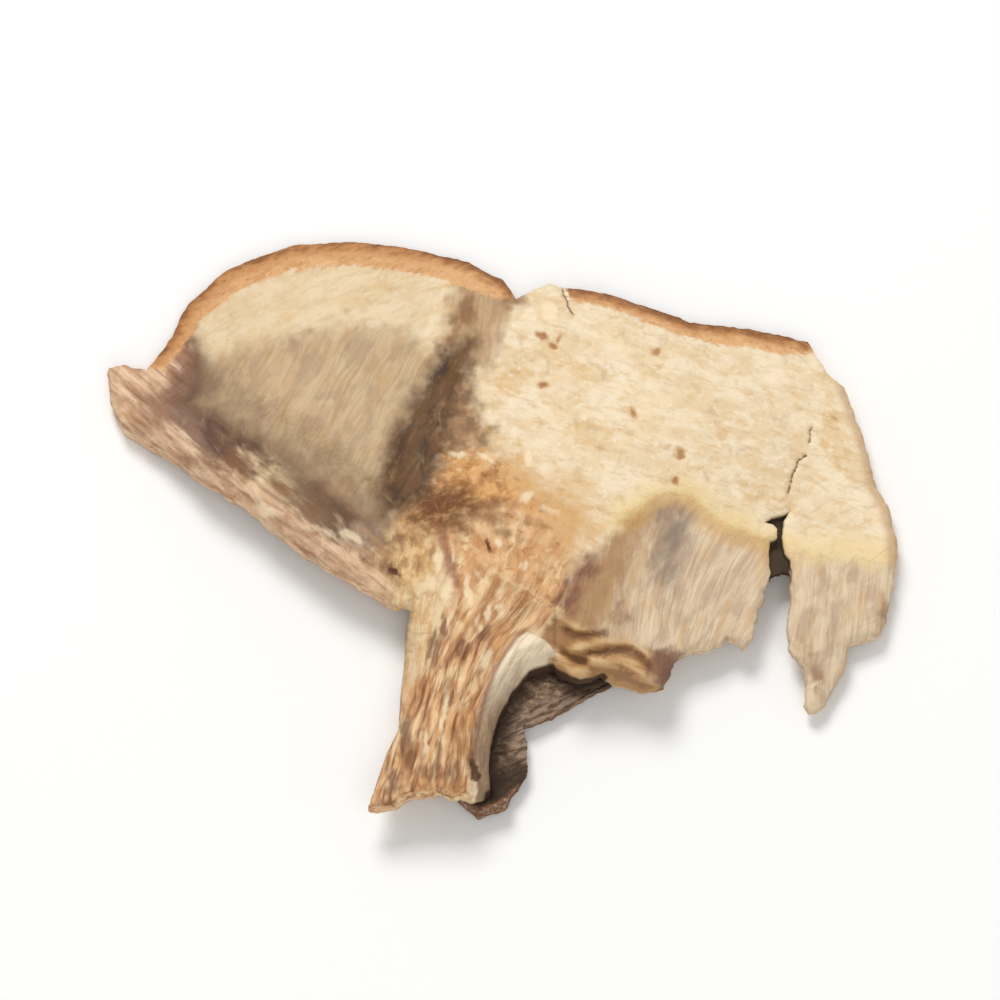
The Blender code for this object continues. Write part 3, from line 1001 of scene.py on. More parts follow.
def left_grain(points: np.ndarray) -> np.ndarray:
    """Coordinates across and along the tubes of the left half, which lie aslant.

    Args:
        points: Seen points in millimetres, one a row.

    Returns:
        The two coordinates in millimetres, one point a row.
    """
    turn = math.radians(62.0)
    across = points[:, 0] * math.sin(turn) - points[:, 1] * math.cos(turn)
    along = points[:, 0] * math.cos(turn) + points[:, 1] * math.sin(turn)
    return np.column_stack([across + 0.22 * SWAY.at(along / 2.0, across / 1.2), along])


class Surface(Enum):
    """Which side of a sheet a vertex lies on, as the share of the way down."""

    UPPER = 0.0
    SUNK = 0.5
    LOWER = 1.0


@dataclass
class Net:
    """Closed mesh: its places in millimetres, its faces, and the seen point and share of each vertex."""

    places: np.ndarray
    faces: list[list[int]]
    seen: np.ndarray
    down: np.ndarray


@dataclass
class SheetMesh:
    """Fine closed mesh of one sheet, and the seen point under each of its vertices."""

    upper_spacing: float = 0.2
    lower_spacing: float = 0.4
    edge_spacing: float = 0.19
    wall_rows: int = 5
    wall_bulge: float = 0.16
    wall_roughness: float = 0.06
    crease_step: float = 0.14
    crease_width: float = 0.09
    stretch_points: int = 40
    widest_margin: float = 0.3
    clearance: float = 0.5
    weld: float = 1e-5

    def edge(self, outline: list[tuple[Line, float]]) -> tuple[np.ndarray, np.ndarray]:
        """Draws the outer edge finely, with its raggedness.

        Args:
            outline: Stretches of the edge and how ragged each is.

        Returns:
            The edge points, and the outward direction at each.
        """
        corners = [point for line, _ in outline for point in line]
        ragged = [rough for line, rough in outline for _ in line]
        ends = in_millimetres(corners)
        points, roughs = [], []
        for i, start in enumerate(ends):
            end = ends[(i + 1) % len(ends)]
            count = max(1, round(float(np.hypot(*(end - start))) / self.edge_spacing))
            for k in range(count):
                points.append(start + (end - start) * k / count)
                roughs.append(ragged[i])
        edge = np.array(points)
        rough = np.array(roughs)
        tangent = np.roll(edge, -1, axis=0) - np.roll(edge, 1, axis=0)
        outward = np.column_stack([-tangent[:, 1], tangent[:, 0]])
        outward /= np.linalg.norm(outward, axis=1)[:, None]
        tooth = Grain(5)
        shift = 0.8 * tooth.at(edge[:, 0] / 1.0, edge[:, 1] / 1.0)
        shift += 0.7 * tooth.at(edge[:, 0] / 0.4 + 40.0, edge[:, 1] / 0.4)
        return edge + (shift * rough)[:, None] * outward, outward

    def rows_along(self, line: Line) -> np.ndarray:
        """Three rows of points along a crease, so that its floor and shoulders are sharp.

        Args:
            line: The drawn line.

        Returns:
            The points in millimetres, one a row.
        """
        ends = in_millimetres(line)
        rows = []
        for start, end in zip(ends[:-1], ends[1:]):
            length = float(np.hypot(*(end - start)))
            along = (end - start) / length
            side = self.crease_width * np.array([-along[1], along[0]])
            for reach in np.arange(0.3 * self.crease_step, length, self.crease_step):
                middle = start + reach * along
                rows += [middle, middle + side, middle - side]
        return np.array(rows)

    def flat(
        self, edge: np.ndarray, spacing: float, creases: list[Line]
    ) -> tuple[np.ndarray, np.ndarray]:
        """Fills the edge with a net of triangles.

        Args:
            edge: The closed edge, in millimetres.
            spacing: Distance between the net's points.
            creases: Drawn lines that the net follows closely.

        Returns:
            The points, the edge's first and in order, and the triangles.
        """
        low = edge.min(axis=0)
        high = edge.max(axis=0)
        rows = np.arange(low[1], high[1], spacing * math.sqrt(3.0) / 2.0)
        x, y = np.meshgrid(np.arange(low[0], high[0], spacing), rows)
        x[1::2] += spacing / 2.0
        net = np.column_stack([x.ravel(), y.ravel()])
        net = net[inside(net, edge)]
        for line in creases:
            net = net[distance_to(net, line) > self.crease_width + self.clearance * spacing]
        net = np.vstack([net] + [self.rows_along(line) for line in creases])
        clear = inside(net, edge)
        ring = np.vstack([edge, edge[:1]]) / SEEN_STEP
        margin = self.clearance * min(spacing, self.widest_margin)
        for first in range(0, len(edge), self.stretch_points):
            stretch = [tuple(point) for point in ring[first : first + self.stretch_points + 1]]
            box = in_millimetres(stretch)
            near = (net > box.min(axis=0) - spacing) & (net < box.max(axis=0) + spacing)
            picked = np.flatnonzero(np.all(near, axis=1))
            clear[picked] &= distance_to(net[picked], stretch) > margin
        points = np.vstack([edge, net[clear]])
        count = len(edge)
        loop = [(i, (i + 1) % count) for i in range(count)]
        made = delaunay_2d_cdt([Vector(point) for point in points], loop, [], 0, self.weld, True)
        order = [source[0] if source else -1 for source in made[3]]
        if min(order) < 0:
            raise ValueError("the edge crosses itself, so the net has points of its own")
        triangles = np.array([[order[i] for i in face] for face in made[2]])
        return points, triangles[inside(points[triangles].mean(axis=1), edge)]

    def build(
        self,
        sheet: Sheet,
        relief: Callable[[Survey], np.ndarray],
        hollow: Callable[[np.ndarray], np.ndarray],
        creases: list[Line],
    ) -> Net:
        """Makes the closed mesh of a sheet.

        Args:
            sheet: The sheet whose surfaces the mesh follows.
            relief: Gives the fine relief of the upper surface at surveyed points.
            hollow: Gives how far the lower surface is cut up at seen points.
            creases: Drawn lines that the upper net follows closely.

        Returns:
            The mesh, with each vertex's share of the way down from the upper surface.
        """
        edge, outward = self.edge(sheet.outline())
        seen, triangles = self.flat(edge, self.upper_spacing, creases)
        below, lower_triangles = self.flat(edge, self.lower_spacing, [])
        upper = sheet.upper(seen, relief(Survey(seen)))
        depth = hollow(below)
        depth[: len(edge)] = 0.0
        lower = sheet.lower(below, depth)
        count, size = len(edge), len(seen)
        rough = Grain(11)
        walls = []
        for row in range(1, self.wall_rows):
            share = row / self.wall_rows
            wall = upper[:count] * (1.0 - share) + lower[:count] * share
            bulge = self.wall_bulge * math.sin(math.pi * share) * np.ones(count)
            bulge += self.wall_roughness * rough.over(edge, 0.5, 0.5, 9.0 * row)
            wall[:, :2] += bulge[:, None] * outward
            walls.append(wall)
        places = np.vstack([upper, lower] + walls)
        faces = triangles.tolist()
        faces += (size + lower_triangles[:, ::-1]).tolist()
        start = size + len(below)
        rings = [np.arange(count)]
        rings += [start + row * count + np.arange(count) for row in range(self.wall_rows - 1)]
        rings += [size + np.arange(count)]
        for above, under in zip(rings[:-1], rings[1:]):
            ahead = np.roll(above, -1)
            under_ahead = np.roll(under, -1)
            faces += np.column_stack([above, ahead, under_ahead, under]).tolist()
        spots = np.vstack([seen, below] + [edge] * (self.wall_rows - 1))
        down = [np.full(size, Surface.UPPER.value), np.full(len(below), Surface.LOWER.value)]
        down += [np.full(count, row / self.wall_rows) for row in range(1, self.wall_rows)]
        return Net(places, faces, spots, np.concatenate(down))


class Value:
    """Number on a node's socket, which Python's operators carry on with Math nodes."""

    def __init__(self, graph: "Graph", socket: bpy.types.NodeSocket) -> None:
        """Keeps the socket and the graph it belongs to."""
        self.graph = graph
        self.socket = socket

    def math(self, operation: str, first: Any, second: Any = 0.0) -> "Value":
        """One Math node over two values or numbers."""
        return self.graph.node("ShaderNodeMath", {"operation": operation}, {0: first, 1: second})

    def __add__(self, other: Any) -> "Value":
        """Sum."""
        return self.math("ADD", self, other)

    def __sub__(self, other: Any) -> "Value":
        """Difference."""
        return self.math("SUBTRACT", self, other)

    def __mul__(self, other: Any) -> "Value":
        """Product."""
        return self.math("MULTIPLY", self, other)

    def __radd__(self, other: Any) -> "Value":
        """Sum with a number on the left."""
        return self.math("ADD", other, self)

    def __rsub__(self, other: Any) -> "Value":
        """Difference with a number on the left."""
        return self.math("SUBTRACT", other, self)

    def __rmul__(self, other: Any) -> "Value":
        """Product with a number on the left."""
        return self.math("MULTIPLY", other, self)

    def between(self, start: float, end: float) -> "Value":
        """0 at start and 1 at end, held outside them.

        Args:
            start: The value that gives 0.
            end: The value that gives 1.

        Returns:
            The share.
        """
        return self.graph.node(
            "ShaderNodeMapRange",
            {"interpolation_type": "SMOOTHSTEP"},
            {"Value": self, "From Min": start, "From Max": end},
        )

    def below(self, start: float, end: float) -> "Value":
        """1 at start and 0 at end, held outside them."""
        return 1.0 - self.between(start, end)

    def vein(self, width: float) -> "Value":
        """1 on the thin lines where a noise crosses its middle."""
        return self.math("ABSOLUTE", self - 0.5).below(0.0, width)


def linear(colour: Colour) -> tuple[float, float, float, float]:
    """The colour as Blender's sockets take it, from the usual 0 to 255.

    Args:
        colour: Red, green and blue.

    Returns:
        The colour as light, with its alpha.
    """

    def channel(level: int) -> float:
        """One channel without its display curve."""
        part = level / 255.0
        return part / 12.92 if part <= 0.04045 else ((part + 0.055) / 1.055) ** 2.4

    return (channel(colour[0]), channel(colour[1]), channel(colour[2]), 1.0)


class Graph:
    """Node tree of one material, with short ways to add to it."""

    def __init__(self, name: str) -> None:
        """Makes the material and keeps its shader.

        Args:
            name: The material's name.
        """
        self.material = bpy.data.materials.new(name)
        self.material.use_nodes = True
        self.tree = self.material.node_tree
        self.shader = self.tree.nodes["Principled BSDF"]

    def node(
        self,
        kind: str,
        settings: dict[str, Any],
        sockets: dict[Union[int, str], Any],
        output: Union[int, str] = 0,
    ) -> Value:
        """Adds a node.

        Args:
            kind: The node's type.
            settings: Properties or a ramp's stops, set before the sockets.
            sockets: Numbers, colours or values for its inputs, by name or place.
            output: The output that is handed back.

        Returns:
            That output as a value.
        """
        made = self.tree.nodes.new(kind)
        for name, setting in settings.items():
            if name == "stops":
                self.set_stops(made.color_ramp, setting)
            else:
                setattr(made, name, setting)
        for name, given in sockets.items():
            if isinstance(given, Value):
                self.tree.links.new(given.socket, made.inputs[name])
            else:
                made.inputs[name].default_value = given
        return Value(self, made.outputs[output])

    def set_stops(self, colour_ramp: bpy.types.ColorRamp, stops: list[tuple[float, Colour]]) -> None:
        """Puts colours at their places on a ramp.

        Args:
            colour_ramp: The ramp.
            stops: The places, each with its colour.
        """
        for place, colour in stops[2:]:
            colour_ramp.elements.new(place)
        for element, (place, colour) in zip(colour_ramp.elements, stops):
            element.position = place
            element.color = linear(colour)

    def share(self, name: str) -> Value:
        """A number stored on the mesh."""
        return self.node("ShaderNodeAttribute", {"attribute_name": name}, {}, "Fac")

    def noise(
        self,
        grain: str,
        across: float,
        along: float,
        detail: float = 3.0,
        roughness: float = 0.6,
        twist: float = 0.0,
    ) -> Value:
        """Soft noise around one half, in the coordinates of a stored grain.

        Args:
            grain: The stored coordinates, in millimetres.
            across: Size of the noise's grains along the first coordinate.
            along: Their size along the second one.
            detail: How many finer noises are added.
            roughness: How strong the finer ones are.
            twist: How far the grains are twisted.

        Returns:
            The noise.
        """
        stored = self.node("ShaderNodeAttribute", {"attribute_name": grain}, {}, "Vector")
        scale = (1.0 / across, 1.0 / along, 1.0)
        place = self.node("ShaderNodeVectorMath", {"operation": "MULTIPLY"}, {0: stored, 1: scale})
        sockets = {"Vector": place, "Scale": 1.0, "Detail": detail, "Roughness": roughness}
        sockets["Distortion"] = twist
        return self.node("ShaderNodeTexNoise", {"noise_dimensions": "3D"}, sockets, "Fac")

    def moved(self, name: str, fray: Value, reach: float) -> Value:
        """A stored number that a noise moves up and down by half a reach."""
        return self.share(name) + (fray - 0.5) * reach

    def frayed(self, name: str, fray: Value, reach: float, softness: float) -> Value:
        """1 inside a stored field with a soft border that is frayed by a noise."""
        return self.moved(name, fray, reach).between(-softness, softness)

    def mix(self, share: Any, first: Any, second: Any) -> Value:
        """A second colour over a first one, by a share from 0 to 1.

        Args:
            share: How much of the second colour shows.
            first: The colour below, drawn or computed.
            second: The colour above, drawn or computed.

        Returns:
            The mixed colour.
        """
        given = [linear(item) if isinstance(item, tuple) else item for item in (first, second)]
        settings = {"data_type": "RGBA", "clamp_factor": True}
        return self.node("ShaderNodeMix", settings, {0: share, 6: given[0], 7: given[1]}, 2)

    def layers(self, colour: Any, *coats: tuple[Any, Any]) -> Value:
        """Lays colours over a first one in order, each by its own share.

        Args:
            colour: The lowest colour.
            *coats: The share and the colour of each layer.

        Returns:
            The colour on top.
        """
        for share, tone in coats:
            colour = self.mix(share, colour, tone)
        return colour

    def finish(self, colour: Value, roughness: Value, height: Value, depth: float) -> bpy.types.Material:
        """Joins colour, roughness and relief to the shader.

        Args:
            colour: The surface's colour.
            roughness: Its roughness.
            height: Fine relief from 0 to 1.
            depth: How deep that relief is, in metres.

        Returns:
            The finished material.
        """
        bump = self.node("ShaderNodeBump", {}, {"Strength": 1.0, "Distance": depth, "Height": height})
        self.tree.links.new(bump.socket, self.shader.inputs["Normal"])
        self.tree.links.new(colour.socket, self.shader.inputs["Base Color"])
        self.tree.links.new(roughness.socket, self.shader.inputs["Roughness"])
        self.shader.inputs["Specular IOR Level"].default_value = 0.25
        return self.material


@dataclass(frozen=True)
class Flesh:
    """Cream flesh, mottled along its fibres, and tanner on the left half."""

    ivory: Colour = (250, 236, 208)
    bright: Colour = (244, 225, 192)
    cream: Colour = (234, 208, 168)
    amber: Colour = (224, 188, 134)
    tan: Colour = (204, 162, 108)
    left: Colour = (216, 188, 146)
    ochre: Colour = (242, 213, 154)
    ochre_dark: Colour = (216, 176, 112)
    glow: Colour = (216, 166, 104)

    def colour(self, graph: Graph) -> Value:
        """Colour of the flesh over the whole sheet.

        Args:
            graph: The material's graph.

        Returns:
            The colour.
        """
        cloud = graph.noise("flesh_grain", 4.0, 2.2, 3.0, 0.6, 0.4)
        blotch = graph.noise("flesh_grain", 1.7, 0.95, 4.0, 0.58, 0.4)
        mottle = graph.noise("flesh_grain", 0.75, 0.5, 3.0, 0.55, 0.2)
        fibre = graph.noise("flesh_grain", 2.4, 0.5, 3.0, 0.55, 0.3)
        glow = graph.moved("glow", blotch, 5.0).between(-0.8, 3.2) * graph.share("down").below(0.5, 0.9)
        return graph.layers(
            self.bright,
            (cloud.between(0.38, 0.64), self.cream),
            (graph.moved("cloud", blotch, 1.6).between(0.15, 0.95) * 0.75, self.amber),
            (blotch.between(0.5, 0.68) * 0.55, self.amber),
            (fibre.between(0.52, 0.7) * 0.3, self.tan),
            (mottle.between(0.6, 0.78) * 0.4, self.tan),
            (mottle.below(0.28, 0.46) * 0.6, self.ivory),
            (graph.share("left") * 0.4, self.left),
            (graph.moved("tube_top", blotch, 1.6).below(0.3, 2.6) * 0.75, self.ochre),
            (graph.moved("flap_top", blotch, 1.6).below(1.0, 3.1) * 0.65, self.ochre),
            (graph.moved("tube_top", mottle, 0.9).below(0.1, 0.9) * 0.6, self.ochre_dark),
            (glow * 0.85, self.glow),
        )


@dataclass(frozen=True)
class Tubes:
    """Tubes in fine lines, with grey and with warm patches."""

    grain: str = "tube_grain"
    pale: Colour = (227, 204, 172)
    grey: Colour = (203, 178, 149)
    warm: Colour = (216, 180, 134)
    line: Colour = (180, 149, 115)
    light: Colour = (241, 221, 193)

    def colour(self, graph: Graph) -> Value:
        """Colour of the tubes.

        Args:
            graph: The material's graph.

        Returns:
            The colour.
        """
        line = graph.noise(self.grain, 0.3, 5.0, 3.0, 0.58, 0.1)
        hair = graph.noise(self.grain, 0.15, 2.6, 2.0)
        cloud = graph.noise(self.grain, 1.6, 2.6, 3.0, 0.55, 0.4)
        patch = graph.noise(self.grain, 1.1, 3.2, 3.0, 0.55, 0.4)
        return graph.layers(
            self.pale,
            (cloud.between(0.42, 0.62), self.grey),
            (patch.between(0.5, 0.66) * 0.65, self.warm),
            (line.between(0.46, 0.7) * 0.4, self.line),
            (hair.between(0.5, 0.72) * 0.18, self.line),
            (line.below(0.3, 0.48) * 0.3, self.light),
        )


@dataclass(frozen=True)
class StreakedStem:
    """Peach and cream stem with a net of reddish brown streaks, densest at the foot."""

    peach: Colour = (226, 178, 130)
    cream: Colour = (242, 208, 160)
    orange: Colour = (212, 156, 100)
    streak: Colour = (148, 94, 60)
    dark: Colour = (112, 70, 50)
    light: Colour = (250, 224, 184)

    def colour(self, graph: Graph) -> Value:
        """Colour of the stem's streaked face.

        Args:
            graph: The material's graph.

        Returns:
            The colour.
        """
        flow = graph.noise("stem_grain", 0.9, 4.6, 3.0, 0.55, 0.2)
        streak = graph.noise("stem_grain", 0.46, 3.2, 3.0, 0.58, 0.2)
        net = graph.noise("stem_grain", 0.9, 3.6, 2.0, 0.5, 0.2)
        cloud = graph.noise("stem_grain", 1.7, 2.2, 3.0, 0.55, 0.4)
        cell = graph.noise("seen_grain", 0.95, 0.75, 3.0, 0.55, 0.4)
        low = graph.share("down_stem")
        high = 1.0 - low
        return graph.layers(
            self.cream,
            (flow.between(0.4, 0.6), self.peach),
            (cloud.between(0.46, 0.62) * 0.75, self.orange),
            (streak.between(0.44, 0.68) * (0.3 + 0.55 * low), self.streak),
            (net.vein(0.07) * (0.2 + 0.3 * low), self.streak),
            (streak.between(0.58, 0.76) * low * 0.6, self.dark),
            (cell.between(0.52, 0.62) * high * 0.6, self.orange),
            (cell.between(0.58, 0.7) * high * 0.5, self.streak),
            (cell.below(0.3, 0.48) * high * 0.5, self.cream),
            (streak.below(0.26, 0.44) * 0.5, self.light),
        )


@dataclass(frozen=True)
class StemRoot:
    """Orange brown fibres where the stem grows into the cap."""

    amber: Colour = (224, 169, 109)
    orange: Colour = (192, 129, 73)
    dark: Colour = (110, 68, 34)
    cream: Colour = (242, 212, 162)

    def colour(self, graph: Graph) -> Value:
        """Colour of the root of the stem.

        Args:
            graph: The material's graph.

        Returns:
            The colour.
        """
        fan = graph.noise("root_grain", 1.5, 2.4, 2.0, 0.5)
        burst = fan * 0.5 + graph.noise("seen_grain", 1.1, 0.8, 3.0, 0.52, 0.3) * 0.5
        fine = graph.noise("seen_grain", 0.55, 0.42, 3.0, 0.52, 0.3)
        return graph.layers(
            self.amber,
            (burst.between(0.42, 0.56), self.orange),
            (burst.between(0.52, 0.64) * 0.55, self.dark),
            (fine.between(0.52, 0.7) * 0.4, self.dark),
            (fine.below(0.3, 0.46) * 0.6, self.cream),
        )


@dataclass(frozen=True)
class CurledEdge:
    """Edge of the left half: pinkish brown, with grey, cream and purple stretches. The grey and purple
    stretches are partly painted shadow of a neighbouring slice, the inner side is painted shade, and the
    pale rim is partly painted light that makes up for its slope away from the lights.
    """

    stops: tuple[tuple[float, Colour], ...] = (
        (0.0, (184, 140, 92)), (0.10, (176, 138, 100)), (0.18, (184, 156, 130)),
        (0.26, (122, 96, 74)), (0.36, (150, 122, 98)), (0.45, (218, 190, 150)),
        (0.53, (132, 102, 80)), (0.61, (98, 73, 60)), (0.71, (150, 119, 103)),
        (0.82, (168, 126, 98)), (1.0, (196, 150, 118)),
    )
    rim: Colour = (242, 206, 170)
    rim_brown: Colour = (206, 162, 124)
    line: Colour = (132, 94, 68)
    light: Colour = (246, 218, 186)
    inner_shade: Colour = (84, 62, 48)
    start: float = -2.0
    length: float = 32.0

    def colour(self, graph: Graph) -> Value:
        """Colour along and across the curled edge.

        Args:
            graph: The material's graph.

        Returns:
            The colour.
        """
        line = graph.noise("wing_grain", 0.42, 3.6, 3.0, 0.58, 0.3)
        cloud = graph.noise("wing_grain", 1.1, 2.4, 3.0, 0.56, 0.4)
        fine = graph.noise("wing_grain", 0.3, 0.6, 3.0, 0.6, 0.3)
        along = (graph.share("wing_along") - self.start) * (1.0 / self.length) + (cloud - 0.5) * 0.35
        across = graph.moved("wing_across", cloud, 3.0)
        rim = graph.mix(cloud.between(0.36, 0.64), self.rim, self.rim_brown)
        return graph.layers(
            graph.node("ShaderNodeValToRGB", {"stops": list(self.stops)}, {"Fac": along}),
            # Painted shade on the inner side, then the pale rim, which is partly painted light
            (across.between(2.8, 4.6) * 0.6, self.inner_shade),
            (across.below(1.0, 2.7) * 0.85, rim),
            (line.between(0.46, 0.7) * 0.6, self.line),
            (fine.between(0.56, 0.76) * 0.35, self.line),
            (line.below(0.28, 0.42) * across.below(1.5, 3.5) * 0.6, self.light),
        )


@dataclass(frozen=True)
class Crescent:
    """Dark crescent along the tubes beside the stem's root: partly dark tissue, partly painted shadow of
    a neighbouring slice.
    """

    brown: Colour = (108, 74, 44)
    dark: Colour = (64, 46, 34)
    purple: Colour = (92, 66, 58)
    light: Colour = (158, 120, 82)

    def colour(self, graph: Graph) -> Value:
        """Colour of the dark crescent.

        Args:
            graph: The material's graph.

        Returns:
            The colour.
        """
        line = graph.noise("left_grain", 0.5, 2.2, 4.0, 0.58, 0.3)
        cloud = graph.noise("left_grain", 1.2, 2.4, 4.0, 0.58, 0.4)
        return graph.layers(
            self.brown,
            (cloud.between(0.38, 0.64), self.dark),
            (cloud.below(0.28, 0.48) * 0.5, self.purple),
            (line.below(0.28, 0.5) * 0.4, self.light),
        )


@dataclass(frozen=True)
class CapSkin:
    """Brown skin of the cap, orange where it meets the flesh."""

    brown: Colour = (200, 144, 92)
    dark: Colour = (146, 97, 60)
    orange: Colour = (226, 176, 124)
    light: Colour = (240, 202, 154)

    def colour(self, graph: Graph) -> Value:
        """Colour of the skin, darker outwards.

        Args:
            graph: The material's graph.

        Returns:
            The colour.
        """
        patch = graph.noise("flesh_grain", 1.4, 0.6, 4.0, 0.6, 0.4)
        grit = graph.noise("flesh_grain", 0.4, 0.28, 3.0, 0.6, 0.3)
        across = graph.moved("skin_across", patch, 1.7)
        return graph.layers(
            self.dark,
            (across.between(0.0, 0.7), self.brown),
            (across.between(0.45, 1.2), self.orange),
            (graph.share("left") * patch.between(0.36, 0.6) * 0.6, self.brown),
            (grit.between(0.54, 0.72) * 0.5, self.dark),
            (grit.below(0.3, 0.44) * across.between(0.6, 1.4) * 0.5, self.light),
        )


@dataclass(frozen=True)
class Weave:
    """Noises that the tissues share, and the share of the upper face."""

    along_fibres: Value
    along_stem: Value
    drift: Value
    on_top: Value


@dataclass(frozen=True)
class SliceFinish:
    """Finish of the sheet, with each tissue where it lies."""

    flesh: Flesh = Flesh()
    tubes: Tubes = Tubes()
    left_tubes: Tubes = Tubes(
        "left_grain", (208, 180, 142), (188, 160, 128), (196, 160, 114), (172, 142, 108), (220, 194, 158)
    )
    stem: StreakedStem = StreakedStem()
    root: StemRoot = StemRoot()
    edge: CurledEdge = CurledEdge()
    crescent: Crescent = Crescent()
    skin: CapSkin = CapSkin()
    tube_brown: Colour = (170, 126, 78)
    tube_top: Colour = (216, 170, 106)
    tube_shadow: Colour = (138, 119, 107)
    # Painted shade in the valley behind the left half's curled edge
    valley: Colour = (124, 98, 75)
    bruise: Colour = (160, 116, 76)
    bruise_dark: Colour = (128, 92, 62)
    # Painted shadow of a neighbouring slice on the strip of flesh at the crown's upper left
    grey: Colour = (190, 154, 113)
    strip_shadow_line: Colour = (170, 135, 98)
    stem_pale: Colour = (230, 203, 162)
    stem_pale_line: Colour = (190, 154, 114)
    stem_pale_amber: Colour = (212, 162, 98)
    patch: Colour = (230, 192, 134)
    patch_brown: Colour = (196, 146, 92)
    # Pale rim, partly painted light; its greyer tones towards the foot and the hollow are partly painted
    # shade
    rim: Colour = (250, 233, 203)
    rim_shade: Colour = (216, 190, 154)
    rim_low_and_shade: Colour = (184, 156, 124)
    rim_grey_and_shade: Colour = (152, 124, 96)
    # Painted shade along the cap's right edge
    right_edge_shade: Colour = (204, 168, 128)
    red_line: Colour = (138, 80, 62)
    purple: Colour = (136, 88, 72)
    lip: Colour = (194, 147, 95)
    # Brown between the lip's folds, partly painted shade; pale colour that is painted highlight on their
    # crests
    lip_brown_and_shade: Colour = (154, 110, 70)
    lip_end: Colour = (126, 92, 76)
    pale_and_highlight: Colour = (234, 202, 154)
    stain: Colour = (114, 70, 46)
    shade: Colour = (132, 91, 58)
    light: Colour = (252, 232, 194)
    halo: Colour = (214, 172, 118)
    worm: Colour = (164, 112, 68)
    pit: Colour = (84, 52, 34)
    # Painted shade in the lip's creases
    crease: Colour = (96, 60, 36)
    # Painted shade inside the cracks
    crack_shade: Colour = (112, 76, 46)
    # Painted shade on the walls under the stem's rim and the lip
    hidden: Colour = (76, 54, 37)
    # Painted shade in the slot, over the dark tissue's own colour
    slot: Colour = (50, 34, 22)
    under: Colour = (200, 164, 118)
    relief_depth: float = 0.0001

    def material(self) -> bpy.types.Material:
        """The finished material of the sheet.

        Returns:
            The material.
        """
        graph = Graph("dried_slice")
        fray = graph.noise("flesh_grain", 0.8, 0.5, 4.0, 0.6, 0.3)
        on_top = graph.share("down").below(0.5, 0.9)
        weave = Weave(
            along_fibres=fray,
            along_stem=graph.noise("stem_grain", 0.4, 2.2, 4.0, 0.6, 0.2),
            drift=graph.noise("seen_grain", 1.2, 1.2, 2.0, 0.5),
            on_top=on_top,
        )
        wash = graph.noise("flesh_grain", 3.4, 1.4, 4.0)
        # Painted shade: the walls under the stem's rim and the lip are darkened
        wall_shade = graph.share("rim_shadow_line").below(0.2, 0.5) * graph.share("down").between(0.1, 0.35)
        # Painted shade in the slot, partly the dark tissue's own colour
        slot_shade = graph.share("slot").below(0.3, 0.6) * graph.share("down").between(0.02, 0.2)
        colour = graph.layers(
            self.marks(graph, self.tissues(graph, weave), weave),
            ((1.0 - on_top) * wash.between(0.34, 0.62) * 0.75, self.under),
            (wall_shade, self.hidden),
            (slot_shade * 0.95, self.slot),
            (graph.frayed("skin", fray, 1.3, 0.2), self.skin.colour(graph)),
        )
        return graph.finish(colour, 0.66 + 0.3 * fray, self.relief(graph), self.relief_depth)

    def tissues(self, graph: Graph, weave: Weave) -> Value:
        """Lays every tissue over the flesh, in order.

        Args:
            graph: The material's graph.
            weave: The noises that the tissues share.

        Returns:
            The colour.
        """
        fray, streak, drift, on_top = weave.along_fibres, weave.along_stem, weave.drift, weave.on_top
        line = graph.noise("tube_grain", 0.34, 2.0, 3.0, 0.6, 0.2)
        pale = graph.layers(
            self.stem_pale,
            (streak.between(0.42, 0.6) * 0.8, self.stem_pale_amber),
            (fray.between(0.5, 0.66) * 0.6, self.stem_pale_line),
        )
        patch = graph.layers(
            self.patch,
            (drift.between(0.42, 0.58), self.patch_brown),
            (fray.between(0.5, 0.66) * 0.5, self.patch_brown),
        )
        bruised = graph.layers(
            self.bruise,
            (drift.between(0.42, 0.6), self.bruise_dark),
            (line.between(0.45, 0.65) * 0.4, self.bruise_dark),
        )
        # Painted shadow on the strip of flesh at the crown's upper left
        strip_shadow = graph.mix(line.between(0.4, 0.66), self.grey, self.strip_shadow_line)
        dark_root = graph.frayed("root_dark", drift, 3.0, 1.2) * (0.65 + 0.35 * fray.between(0.4, 0.56))
        fringe = line * 0.4 + drift * 0.6
        # Painted shade darkens the valley behind the curled edge
        hollow = graph.moved("wing_across", drift, 4.0).below(4.6, 8.4)
        left = graph.mix(hollow * 0.65, self.left_tubes.colour(graph), self.valley)
        beside = graph.moved("leftward", drift, 6.0).between(6.0, 9.4)
        near_edge = graph.moved("wing_across", drift, 1.6).below(3.8, 5.8)
        purple = graph.frayed("purple", drift, 2.0, 0.9) * (0.6 + 0.4 * streak.between(0.4, 0.58))
        return graph.layers(
            self.flesh.colour(graph),
            (graph.frayed("shadow_strip", drift, 2.4, 1.0) * on_top * 0.85, strip_shadow),
            (graph.frayed("root", fray, 5.0, 1.5) * on_top * 0.9, self.root.colour(graph)),
            (graph.frayed("stem_pale", fray, 1.4, 0.5) * on_top * 0.85, pale),
            (graph.frayed("ochre_patch", drift, 2.0, 0.8) * on_top * 0.75, patch),
            (graph.frayed("streaked", streak, 2.4, 0.6) * on_top, self.stem.colour(graph)),
            (dark_root * on_top * 0.9, self.root.dark),
            (graph.frayed("tubes_right", fringe, 2.0, 0.7), self.right_tubes(graph, fray)),
            (graph.frayed("tubes_left", drift, 2.4, 1.2), left),
            (graph.frayed("bruise", drift, 2.6, 1.1) * on_top * 0.9, bruised),
            (graph.frayed("crescent", drift, 1.8, 1.0) * on_top * 0.95, self.crescent.colour(graph)),
            (beside * near_edge, self.edge.colour(graph)),
            (graph.frayed("lip", drift, 2.0, 0.5) * on_top * 0.9, self.folds(graph)),
            (graph.frayed("lip_end", drift, 2.4, 0.6) * on_top * 0.8, self.lip_end),
            (purple * on_top * 0.95, self.purple),
            (graph.frayed("rim", fray, 0.3, 0.12) * on_top, self.cut_rim(graph, weave)),
        )

